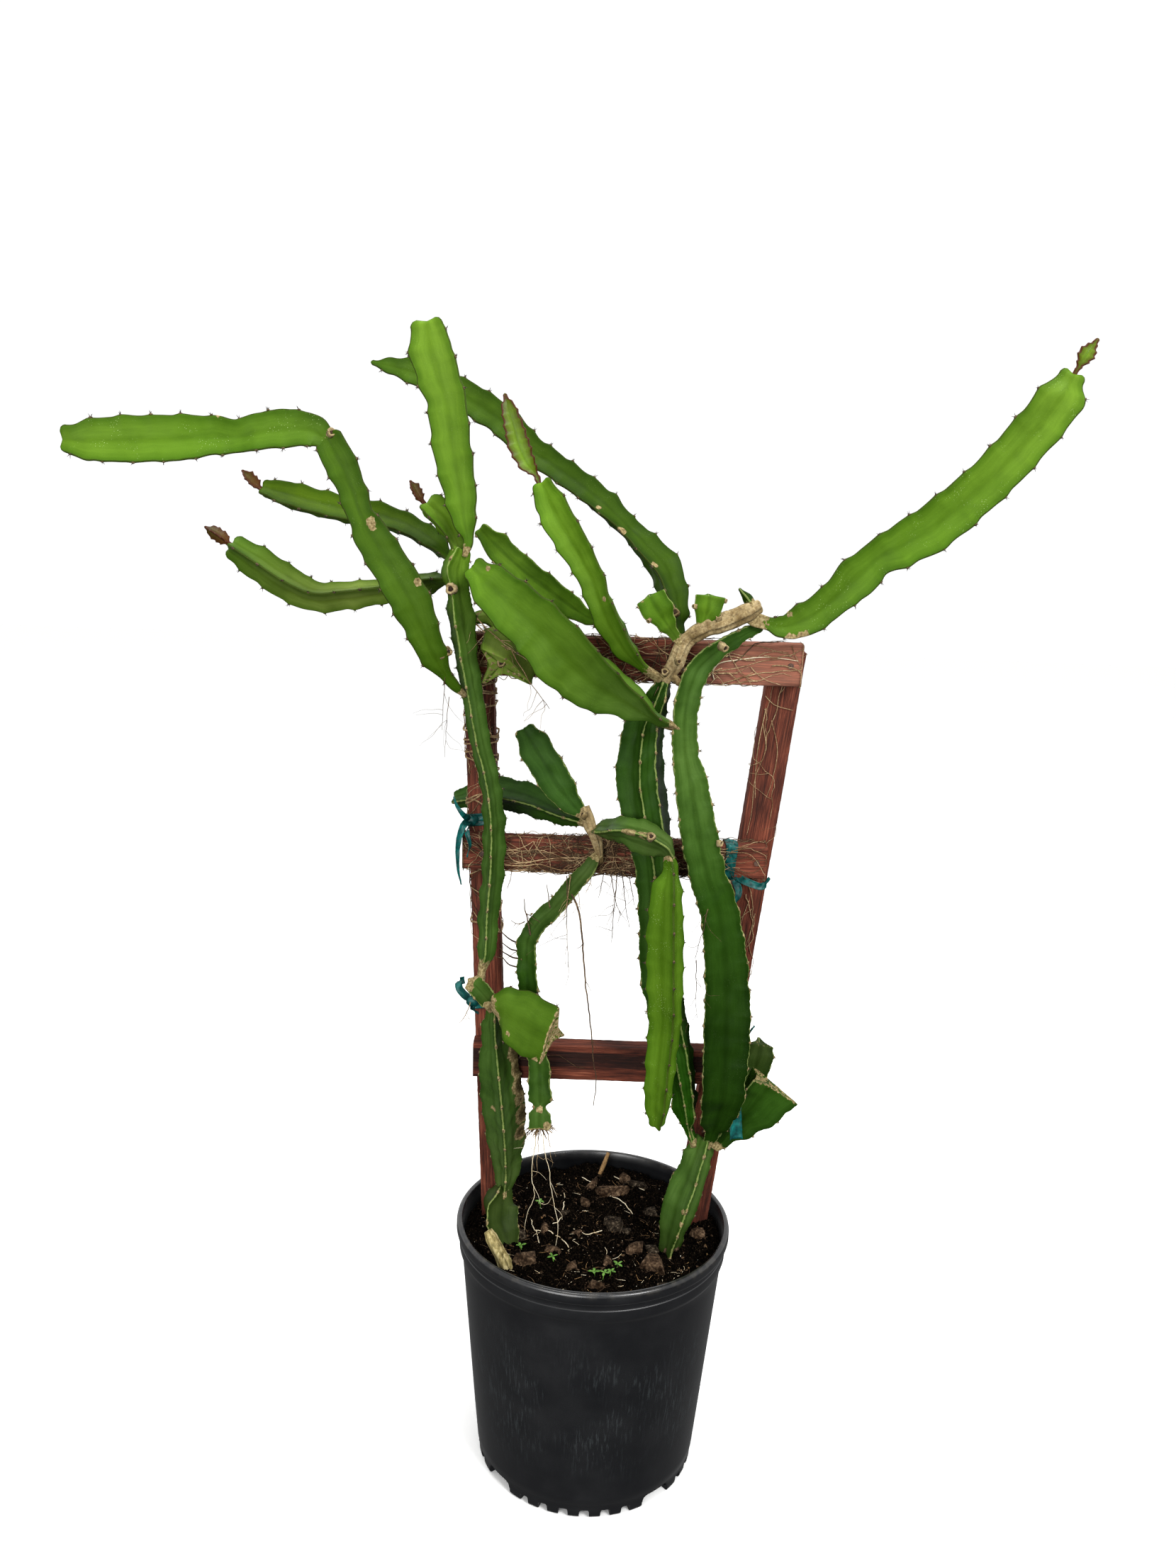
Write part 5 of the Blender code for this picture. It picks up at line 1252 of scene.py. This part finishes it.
def addStub(shape, place, out, radius, length, finish, core):
    # the ring left where a stem broke off: a short collar round a sunken dark middle
    out = unit(np.array(out, float))
    lean = unit(np.cross(out, (0.3, 0.2, 0.9)))
    across = np.cross(out, lean)
    sides = 16

    def ringPoints(scale, lift):
        ragged = [(a, 1 + 0.10 * math.sin(3 * a + radius) + 0.07 * math.sin(5 * a + lift + 2 * radius))
                  for a in evenTurns(sides)]
        middle = np.array(place) + out * lift
        return [middle + (lean * math.cos(a) + across * math.sin(a)) * radius * scale * r for a, r in ragged]

    profile = ((1.3, -1.5), (1.08, length * 0.6), (1.0, length), (0.86, length + 0.4), (0.66, length - 0.2),
               (0.5, length - 1.3))
    points = [point for scale, lift in profile for point in ringPoints(scale, lift)]
    points.append(np.array(place) + out * (length - 1.8))
    faces = loft(len(profile), sides) + fan(len(profile) - 1, sides, len(points) - 1) + [footFace(sides)]
    shape.add(points, faces, finish)
    points = ringPoints(0.56, length - 1.0) + ringPoints(0.56, length - 2.2)
    shape.add(points, loft(2, sides, capped=True), core)


stubs = dict(
    wood_w=(((85.6, -95, 876), (-0.1, -0.7, 0.7), 2.6, 4.5), ((89.6, -98, 853), (0.5, -0.8, -0.3), 3.2, 6),
            ((52.7, -95, 838), (0.3, -0.95, 0.1), 2.4, 3.5), ((42.5, -88, 828), (-0.2, -0.95, 0.2), 3.0, 4),
            ((50, -84, 824), (0.7, -0.3, -0.6), 3.0, 9)),
    wood_k=(((-24, -52, 690), (-0.7, -0.5, 0.5), 3.0, 3.5),))
for seed, (name, design) in enumerate(stems.items()):
    shape = Shape()
    design["name"] = name
    isYoung = name in youngStems
    kind = "young" if isYoung else "old"
    kind = "shoot" if "allShoot" in design else "woody" if "woody" in design else kind
    addStem(shape, design, design["rows"], seed + 40, kind)
    if kind == "woody":
        for stub in stubs.get(name, ()):
            addStub(shape, *stub, 0, 1)
        title, bark = ("dead_cutting", driedStem) if name == "cutting_dead" else ("old_" + name, corkyBark)
        shape.piece(title, [bark, heartwood], "corky_bark", [name])
        continue
    if "shoot" in design:
        bud = dict(roll=design.get("rollEnd", design["roll"]))
        bud["shade"] = design.get("shootShade", ("apple", "lime"))
        addStem(shape, bud, design["shoot"], seed + 90, "shoot")
    skin, felt, slot = (youngSkin, areoleFelt, "stem_young") if isYoung else (oldSkin, oldFelt, "stem_old")
    shape.piece("winged_" + name, [skin, felt, spineHorn, shootSkin, corkyBark, heartwood], slot, [name])
print("stems made")

# Ties: stretch tape wound twice round a slat, knotted at its edge with loose tails (mm)

tape = dict(width=9.0, thick=0.45, clear=1.1, knot=(6.4, 4.4, 5.4))


def addRibbon(shape, path, across, width, seed, closed=False, curl=0.12):
    # a thin tape along a path, a little cupped and creased
    path = np.array(path, float)
    run = np.roll(path, -1, axis=0) - np.roll(path, 1, axis=0) if closed else np.gradient(path, axis=0)
    tangent = unit(run)
    across = np.broadcast_to(np.array(across, float), path.shape)
    wide = unit(across - (across * tangent).sum(1)[:, None] * tangent)
    thin = np.cross(tangent, wide)
    s = np.linspace(-1, 1, 9)
    widths = np.broadcast_to(width, len(path))
    cup = curl * (s ** 2 - 0.4)
    centre = (path[:, None] + wide[:, None] * (s[None, :, None] * widths[:, None, None] / 2)
              + thin[:, None] * (cup[None, :, None] * widths[:, None, None]))
    crease = wobble(centre.reshape(-1, 3), 5.0, seed).reshape(centre.shape[:2])
    centre = centre + thin[:, None] * crease[:, :, None] * 0.45
    top = centre + thin[:, None] * tape["thick"] / 2
    low = centre - thin[:, None] * tape["thick"] / 2
    ring = np.concatenate([top, low[:, ::-1]], axis=1)
    around = ring.shape[1]
    faces = loft(len(path), around, capped=not closed) + (bridge(len(path) - 1, 0, around) if closed else [])
    shape.add(ring, faces)


def makeTie(name, slat, place, windings, knot, tails):
    # windings lists where along the slat each turn of tape lies; a tail has the direction of its width,
    # its width at both ends, and its course
    shape = Shape()
    outline = 2 * (slat["width"] + trellis["thick"])
    for index, along in enumerate(windings):
        run = np.linspace(0, outline, 61)[:-1]
        drift = 1.4 * np.sin(run / outline * 2 * math.pi + index)
        path = onSlat(slat, along + drift, run, tape["clear"] * 0.7 + 0.5 * index)
        axis = np.array(slat["matrix"])[:3, 2 if slat["upright"] else 0]
        width = tape["width"] * (0.95 - 0.12 * index)
        addRibbon(shape, path, axis, width, 60 + index, closed=True, curl=0.06)
    rings, sides = 9, 18
    sphere = np.array([(math.sin(lat) * math.cos(lon), math.sin(lat) * math.sin(lon), math.cos(lat))
                       for lat in (math.pi * i / rings for i in range(1, rings)) for lon in evenTurns(sides)])
    folds = 1 + 0.13 * np.sin(5 * np.arctan2(sphere[:, 1], sphere[:, 0]) + 3 * sphere[:, 2])
    knot, pole = np.array(knot), (0, 0, tape["knot"][2] * 0.95)
    points = np.vstack([knot + sphere * np.array(tape["knot"]) * folds[:, None], knot + pole, knot - pole])
    faces = loft(rings - 1, sides) + fan(0, sides, len(points) - 2)
    shape.add(points, faces + fan(rings - 2, sides, len(points) - 1, turned=True))
    for index, (across, width, rows) in enumerate(tails):
        line = smoothLine([tuple(knot)] + list(rows), 2.0)
        spread = np.linspace(*width, len(line)) * (0.35 + 0.65 * between(0, 9, np.arange(len(line)) * 2.0))
        addRibbon(shape, line[:, :3], across, spread, 70 + index, curl=0.16)
    shape.piece(name, [tieFinish], "tie_tape", [place])


def slatPoint(leg, z, x, y):
    # a point by mm beside and in front of a leg's middle line at a height
    return np.array((leg["x"] + leg["splay"] * (z - soil["level"]) + x, planeY(z) + y, z))


legLeft, legRight = trellis["legs"]["leg_left"], trellis["legs"]["leg_right"]
makeTie("tie_bow_left", slats["leg_left"], "tie_left_middle", [alongLeg(legLeft, z) for z in (676, 679)],
        slatPoint(legLeft, 676, -11, -14),
        [((0.7, 0.3, -0.4), (8, 1.2),
          [(-137, -45, 674), (-141, -47, 658), (-141, -45, 634), (-138, -43, 617)]),
         ((0.6, 0.2, 0.5), (8, 1.2), [(-137, -42, 684), (-143, -45, 693), (-146, -46, 702)]),
         ((0.2, 0.6, 0.8), (6, 4), [(-133, -44, 668), (-130, -47, 655), (-133, -46, 645)])])
middleX = (trellis["rungs"]["rung_middle"]["x0"] + trellis["rungs"]["rung_middle"]["x1"]) / 2
makeTie("tie_bow_right", slats["rung_middle"], "tie_right_middle", [x - middleX for x in (116.5, 113.0)],
        (119, -33, 633),
        [((0.5, 0.2, 0.8), (8, 6), [(137, -44, 628), (147, -42, 626), (153, -42, 634)]),
         ((0.8, 0.3, 0.4), (8, 5), [(124, -46, 620), (118, -48, 608), (115, -48, 602)])])
makeTie("tie_low_left", slats["leg_left"], "tie_left_low", [alongLeg(legLeft, z) for z in (486, 489)],
        (-126, -28, 496),
        [((0.5, 0.4, 0.6), (8, 7), [(-133, -30, 502), (-139, -30, 509), (-140, -27, 515), (-135, -24, 516)]),
         ((0.7, 0.3, -0.4), (7, 5), [(-126, -33, 490), (-120, -37, 487)])])
makeTie("tie_low_right", slats["leg_right"], "tie_right_low", [alongLeg(legRight, z) for z in (458, 455)],
        slatPoint(legRight, 458, 13, -14),
        [((0.9, 0.2, 0.1), (9, 13), [(136, -22, 460), (134, -28, 440), (135, -31, 402), (138, -32, 364)]),
         ((0.5, 0.3, 0.6), (6, 5), [(146, -16, 468), (152, -16, 476)])])
print("ties made")

# Aerial roots (mm)

hangingRoots = dict(
    root_long=dict(radius=1.0, branches=3, length=14, finish=deadRoot, rows=[
        (-33, -52, 614), (-26, -62, 604), (-22, -63, 580), (-20, -62, 550), (-14, -60, 510), (-9, -58, 470),
        (-5, -57, 435), (-5, -56, 405)]),
    root_white_1=dict(radius=0.52, branches=3, length=26, finish=paleRoot, rows=[
        (-60, -36, 372), (-61, -34, 350), (-63, -30, 320), (-60, -24, 290), (-68, -16, 262),
        (-72, -12, 232)]),
    root_white_2=dict(radius=0.5, branches=3, length=26, finish=paleRoot, rows=[
        (-54, -36, 372), (-52, -36, 350), (-45, -34, 320), (-42, -30, 290), (-36, -32, 262),
        (-38, -36, 232)]))


def crinkled(rows, seed, size=0.8, step=5.0):
    # the rows' line with small kinks
    line = smoothLine(rows, step)
    draw = np.random.default_rng(seed)
    kinks = np.cumsum(draw.normal(size=(len(line), 3)) * size * 0.5, axis=0)
    kinks -= np.linspace(0, 1, len(line))[:, None] * kinks[-1]
    line[:, :3] += kinks
    return line


def hangRoot(shape, rows, radius, seed, branches, length, finish=0):
    # a root that hangs or juts out, thinner to its tip, with fine branches along it
    rows = [(*row[:3], radius * (1 - 0.6 * i / (len(rows) - 1))) for i, row in enumerate(rows)]
    line = crinkled(rows, seed)
    addTube(shape, line, step=2.5, finish=finish)
    draw = np.random.default_rng(seed + 1)
    for _ in range(branches):
        i = int(draw.integers(1, len(line) - 1))
        direction = unit(draw.normal(size=3) * (1, 0.6, 0.5) + (0, 0, -0.7))
        here = line[i, :3]
        side = [(*here, radius * 0.5)]
        for step in range(1, 5):
            direction = unit(direction + draw.normal(size=3) * 0.3 + (0, 0, -0.12))
            here = here + direction * length * draw.uniform(0.12, 0.3)
            side.append((*here, radius * 0.45 * (1 - step / 6)))
        addTube(shape, side, sides=5, step=2.5, finish=finish)


for seed, (name, root) in enumerate(hangingRoots.items()):
    shape = Shape()
    hangRoot(shape, root["rows"], root["radius"], 300 + seed * 10, root["branches"], root["length"])
    shape.piece("hanging_" + name, [root["finish"]], "aerial_root", [name])


def crawlRoot(shape, slat, along, across, heading, length, radius, seed, branch=0.0, finish=0, pile=0.0):
    # a root that creeps over a slat: along and across it, its heading wandering
    draw = np.random.default_rng(seed)
    step = 4.0
    rows, count, half = [], max(4, int(length / step)), slat["length"] / 2 - 1
    for k in range(count):
        thin = radius * (1 - 0.55 * k / count)
        lift = thin * 0.7 + 0.25 + (0.5 + pile) * abs(math.sin(k * 0.7 + seed))
        place = onSlat(slat, np.array([np.clip(along, -half, half)]), np.array([across]), lift)[0]
        rows.append((*place, thin))
        pull = 0.05 * heading if abs(heading) < 1.2 else 0.0
        heading += draw.normal() * 0.22 - pull
        along += math.cos(heading) * step
        across += math.sin(heading) * step
        if branch and draw.uniform() < branch and k > 1:
            crawlRoot(shape, slat, along, across, heading + draw.choice([-1, 1]) * draw.uniform(0.4, 1.0),
                      length * draw.uniform(0.25, 0.5), thin * 0.75, int(draw.integers(1, 1e6)), 0.0, finish)
    addTube(shape, rows, sides=5, finish=finish)


# mats of roots on the slats: slat, how many, where along and across it (mm from its middle), length,
# thickness, the share of dead ones and how far they pile up
mats = (
    ("rung_middle", 130, (-34, 66), (-22, 20), (60, 150), (0.3, 0.55), 0.62, 3.0),
    ("rung_middle", 40, (-125, -20), (-22, 12), (60, 160), (0.3, 0.6), 0.45, 1.5),
    ("rung_middle", 14, (66, 112), (-14, 14), (30, 70), (0.3, 0.5), 0.4, 0.6),
    ("rung_top", 14, (40, 146), (-22, 20), (50, 120), (0.35, 0.7), 0.1, 0.8),
    ("rung_top", 46, (-32, 40), (-24, 22), (40, 90), (0.35, 0.7), 0.35, 2.5),
    ("rung_top", 34, (-150, -100), (-24, 22), (30, 70), (0.35, 0.8), 0.3, 2.5),
    ("leg_right", 7, (20, 300), (-14, 14), (60, 160), (0.3, 0.55), 0.1, 0.4),
    ("leg_left", 30, (60, 330), (-22, 22), (40, 110), (0.3, 0.65), 0.3, 0.8),
    ("rung_bottom", 2, (-60, 40), (-10, 10), (30, 50), (0.3, 0.4), 0.5, 0.4))
rootMats, draw = Shape(), np.random.default_rng(11)
for index, (name, count, along, across, length, radius, dead, pile) in enumerate(mats):
    for k in range(count):
        heading = draw.uniform(-0.35, 0.35) + draw.choice([0.0, math.pi])
        if draw.uniform() < 0.16:
            heading += draw.choice([-1, 1]) * 1.1
        crawlRoot(rootMats, slats[name], draw.uniform(*along), draw.uniform(*across), heading,
                  draw.uniform(*length), draw.uniform(*radius), 1000 + index * 200 + k, 0.06,
                  int(draw.uniform() < dead), draw.uniform(0, pile))
# roots wound round the left leg: height, slant (mm) and thickness
wraps = (
    (806, 4, 0.9), (802, -3, 0.8), (797, 5, 0.9), (786, -4, 0.8), (761, 3, 1.0), (756, -3, 0.9),
    (751, 4, 0.9), (741, -5, 0.8), (737, 4, 0.7), (728, 8, 0.8), (712, -12, 0.9), (705, -14, 0.8),
    (698, -12, 0.8), (640, 6, 0.6), (612, 8, 0.7), (585, -6, 0.6), (566, 5, 0.6))
leg = slats["leg_left"]
run = np.linspace(0, 2 * (leg["width"] + trellis["thick"]), 34)
turned = run / run[-1] * 2 * math.pi
for k, (height, slant, radius) in enumerate(wraps):
    at = alongLeg(legLeft, height) + slant * np.sin(turned + k) + slant * 0.6 * turned / math.pi
    line = onSlat(leg, at, run + 3, radius + 0.5 + 0.5 * np.sin(turned * 2 + k))
    addTube(rootMats, [(*point, radius) for point in line], sides=5)
# roots whose course the photo shows: slat, thickness, and points along and across it
tracedRoots = (
    ("rung_top", 0.75, ((73, -15), (71, -8), (76, 0), (93, 4), (112, 7), (129, 7), (147, 5))),
    ("rung_top", 0.6, ((74, -7), (86, -5), (101, -1), (116, 4), (131, 6))),
    ("rung_top", 0.55, ((105, -2), (111, -8), (121, -14), (133, -17))),
    ("rung_top", 0.6, ((96, 17), (111, 17), (127, 13), (141, 10))),
    ("rung_top", 0.5, ((140, 18), (144, 10), (149, 1), (151, -7))),
    ("rung_top", 0.5, ((71, -9), (82, -9), (94, -7), (103, -2))),
    ("rung_top", 0.5, ((110, 7), (116, 11), (131, 13), (138, 12))),
    ("rung_top", 0.5, ((73, 8), (85, 10), (96, 8), (110, 7))),
    ("rung_middle", 0.8, ((-104, 4), (-90, 7), (-77, 14))),
    ("rung_middle", 0.6, ((-88, 5), (-87, -2), (-86, -8))),
    ("rung_middle", 0.85, ((-94, -8), (-80, -6), (-67, -3), (-52, -1), (-36, 0), (-21, 0), (-3, 2), (22, 1))),
    ("rung_middle", 0.8, ((-104, -10), (-86, -10), (-71, -8), (-59, -11), (-48, -13), (-32, -10), (-21, -6),
                          (-7, -3), (6, -2))),
    ("rung_middle", 0.6, ((-77, 14), (-71, 5), (-63, -2))),
    ("rung_middle", 0.55, ((-82, 0), (-80, 7), (-75, 14))),
    ("rung_middle", 0.55, ((-59, 11), (-52, 5), (-44, 1), (-40, -4))),
    ("rung_middle", 0.55, ((-25, -17), (-21, -11), (-13, -4), (-15, 7))),
    ("rung_middle", 0.75, ((-13, -14), (-7, -5), (2, -2), (18, -4))),
    ("rung_middle", 0.7, ((-48, -12), (-32, -14), (-17, -12), (-1, -9), (18, -8))),
    ("leg_right", 0.6, ((306, -15), (299, -6), (296, 12))),
    ("leg_right", 0.5, ((294, -14), (290, -12), (284, -10))),
    ("leg_right", 0.6, ((295, -13), (263, -14), (236, -13), (208, -9))),
    ("leg_right", 0.5, ((284, -6), (257, 4), (225, 4), (209, 1))),
    ("leg_right", 0.55, ((279, -13), (256, -7), (228, -12), (192, -10), (171, -11))),
    ("leg_right", 0.45, ((105, 2), (79, -2), (66, 2))), ("leg_right", 0.45, ((92, 10), (62, 7), (48, 3))))
for name, radius, path in tracedRoots:
    line = smoothLine([(*point, 0.0) for point in path], 5.0)
    # on the middle rung they lie over the mat, and are as dry as it is
    matted = name == "rung_middle"
    lift = radius * 0.8 + (2.6 if matted else 0.3)
    place = onSlat(slats[name], line[:, 0], line[:, 1], lift + 0.3 * np.sin(line[:, 0]))
    thin = radius * np.linspace(0.8, 0.4, len(place))
    addTube(rootMats, np.hstack([place, thin[:, None]]), finish=2 if radius > 0.7 and not matted else 0)
rootMats.piece("roots_on_slats", [dryRoot, deadRoot, paleRoot], "aerial_root")

# loose tufts: start, end, radius, branches and whether dead (1) or dry (0)
tufts = (
    ((2, -50, 636), (14, -56, 596), 0.5, 5, 1), ((8, -50, 634), (6, -54, 570), 0.5, 6, 1),
    ((14, -50, 634), (22, -55, 585), 0.45, 5, 1), ((20, -50, 634), (26, -55, 606), 0.4, 5, 1),
    ((-4, -50, 634), (-8, -55, 612), 0.4, 5, 1), ((30, -50, 634), (34, -55, 612), 0.4, 4, 1),
    ((-14, -50, 634), (-20, -55, 616), 0.4, 4, 0), ((-90, -46, 634), (-94, -50, 616), 0.35, 3, 1),
    ((-34, -52, 632), (-40, -58, 590), 0.5, 5, 0), ((-38, -52, 632), (-34, -60, 545), 0.5, 7, 1),
    ((-28, -52, 632), (-24, -58, 600), 0.4, 4, 0), ((-79, -38, 560), (-102, -10, 563), 1.1, 0, 1),
    ((-79, -37, 552), (-102, -10, 552), 1.0, 1, 1), ((-79, -37, 544), (-102, -10, 545), 1.1, 0, 1),
    ((-80, -37, 535), (-102, -10, 538), 1.0, 1, 1), ((-71, -40, 568), (-78, -46, 606), 0.9, 2, 1),
    ((-77, -43, 583), (-90, -44, 584), 0.6, 2, 1), ((-53, -48, 598), (-57, -50, 622), 0.7, 0, 1),
    ((92, -78, 612), (84, -66, 560), 0.45, 4, 1), ((86, -68, 560), (90, -62, 500), 0.4, 4, 1),
    ((-57, -36, 372), (-58, -38, 330), 0.4, 5, 0), ((-50, -38, 374), (-44, -42, 340), 0.4, 4, 0),
    ((-64, -38, 376), (-76, -40, 350), 0.4, 6, 1), ((-62, -40, 374), (-82, -40, 362), 0.35, 5, 1),
    ((-128, -84, 868), (-92, -92, 842), 0.7, 5, 0), ((-126, -84, 872), (-78, -94, 834), 0.6, 6, 0),
    ((-92, -92, 842), (-58, -88, 792), 0.5, 5, 0), ((-140, -78, 868), (-138, -70, 828), 0.6, 4, 0),
    ((-136, -80, 870), (-118, -88, 876), 0.7, 3, 0), ((-150, -96, 830), (-152, -90, 770), 0.35, 4, 1),
    ((-146, -90, 800), (-150, -86, 745), 0.3, 4, 1), ((-128, -36, 498), (-138, -36, 476), 0.5, 3, 0),
    ((48, -80, 842), (30, -76, 858), 0.6, 3, 0), ((44, -80, 836), (34, -84, 806), 0.5, 3, 1),
    ((16, -70, 674), (0, -84, 676), 0.4, 3, 1))
shape = Shape()
for k, (start, end, radius, branches, dead) in enumerate(tufts):
    start, end = np.array(start, float), np.array(end, float)
    sag = np.array((0, 0, -3.0))
    rows = [tuple(start + (end - start) * s + sag * math.sin(math.pi * s)) for s in (0, 0.33, 0.66, 1)]
    hangRoot(shape, rows, radius, 500 + k * 7, branches, np.linalg.norm(end - start) * 0.6, dead)
# a crown of short torn roots under the hanging cutting
draw = np.random.default_rng(23)
for k in range(46):
    turned, away = draw.uniform(*anyTurn), 9 * math.sqrt(draw.uniform())
    start = np.array((-57 + away * math.cos(turned), -36 + away * math.sin(turned), 371.0))
    lean = np.array((math.cos(turned), math.sin(turned), -0.4)) * draw.uniform(4, 11)
    rows = [(*start, 0.55), (*(start + lean * 0.6), 0.4), (*(start + lean + (0, 0, -1.5)), 0.15)]
    addTube(shape, crinkled(rows, 800 + k, 0.5, 2.0), sides=4, step=2.0, finish=int(draw.uniform() < 0.45))
shape.piece("root_tufts", [dryRoot, deadRoot], "aerial_root")
print("roots made")

# Litter on the potting mix: fibres, torn roots, a stick and seedlings (mm)


def onSoil(x, y, lift=0.0):
    return np.array((x, y, float(soilHeight(x, y)) + lift))


def addLeaf(shape, base, heading, length, width, rise, finish):
    # a small blade, folded along its middle
    ahead = np.array((math.cos(heading), math.sin(heading), rise))
    side = np.array((-math.sin(heading), math.cos(heading), 0.0))
    outline = ((0.0, 0.12), (0.3, 0.8), (0.6, 1.0), (0.85, 0.6), (1.0, 0.05))
    points = []
    for thick in (0.15, -0.15):
        for s, w in outline:
            droop = np.array((0, 0, -length * 0.25 * s * s))
            for k in (-1, 0, 1):
                points.append(base + ahead * length * s + side * k * width / 2 * w + droop
                              + np.array((0, 0, abs(k) * width * 0.12 + thick)))
    faces, n = [], len(outline) * 3
    for i in range(0, n - 3, 3):
        for a in (i, i + 1):
            faces += [(a, a + 1, a + 4, a + 3), (n + a, n + a + 3, n + a + 4, n + a + 1)]
        faces += [(i, i + 3, n + i + 3, n + i), (i + 2, n + i + 2, n + i + 5, i + 5)]
    for a in (0, 1):
        tip = n - 3 + a
        faces += [(a, n + a, n + a + 1, a + 1), (tip, tip + 1, n + tip + 1, n + tip)]
    shape.add(points, faces, finish)


seedlings = (
    (3, -73), (17, -76), (-38, -59), (-56, 44), (-84, -64), (-71, -35), (10, -82), (24, -66))
surfaceRoots = (
    ((-47, 2), (-39, -5), (-31, -16), (-24, -30)), ((-31, 74), (-32, 41), (-40, 17), (-52, 1), (-60, 1)),
    ((12, 77), (27, 65), (43, 38)), ((-12, 109), (1, 97), (8, 85)), ((-65, 23), (-57, -6), (-54, -28)),
    ((-19, 4), (-3, -6), (12, -2)), ((23, 112), (41, 100), (57, 80)))
litter = dict(fibres=300, reach=115, stick=(7, 112))
shape, draw = Shape(), np.random.default_rng(31)
for k, path in enumerate(surfaceRoots):
    line = crinkled([(*onSoil(x, y, 1.6), 0.55) for x, y in path], 900 + k, 1.2, 5.0)
    humps = enumerate(line[:, :2])
    line[:, 2] = [onSoil(x, y, 1.4 + 1.2 * math.sin(n * 1.3 + k) ** 2)[2] for n, (x, y) in humps]
    addTube(shape, line, sides=5, step=2.5)
for _ in range(litter["fibres"]):
    away, turned = litter["reach"] * math.sqrt(draw.uniform()), draw.uniform(*anyTurn)
    x, y = away * math.cos(turned), away * math.sin(turned)
    heading, length = draw.uniform(*anyTurn), draw.uniform(4, 15)
    rows = []
    for t, bend in ((0, 0), (0.5, draw.uniform(0.5, 2)), (1, 1.4)):
        turned = heading + bend * 0.5
        at = onSoil(x + math.cos(turned) * length * t, y + math.sin(turned) * length * t, 1.0 + t * bend)
        rows.append((*at, draw.uniform(0.14, 0.3)))
    addTube(shape, rows, sides=4, step=2.5, finish=int(draw.choice([0, 1, 1, 2])))
foot = onSoil(*litter["stick"], -2)
addTube(shape, [(*foot, 2.2), (*(foot + (5, 4, 12)), 2.5), (*(foot + (10, 8, 25)), 2.0)], finish=2)
for k, (x, y) in enumerate(seedlings):
    base = onSoil(x, y)
    tip = base + (draw.uniform(-2, 2), draw.uniform(-2, 2), draw.uniform(4, 9))
    addTube(shape, [(*base, 0.45), (*tip, 0.35)], sides=5, step=2.0, finish=3)
    for leaf in range(4):
        length, width, rise = draw.uniform(4, 6.5), draw.uniform(2.0, 3.2), draw.uniform(0.1, 0.5)
        addLeaf(shape, tip, leaf * 1.57 + k, length, width, rise, 3)
shape.piece("litter_on_mix", [paleRoot, deadRoot, dryStick, weedLeaf], "potting_mix")
print("litter made")
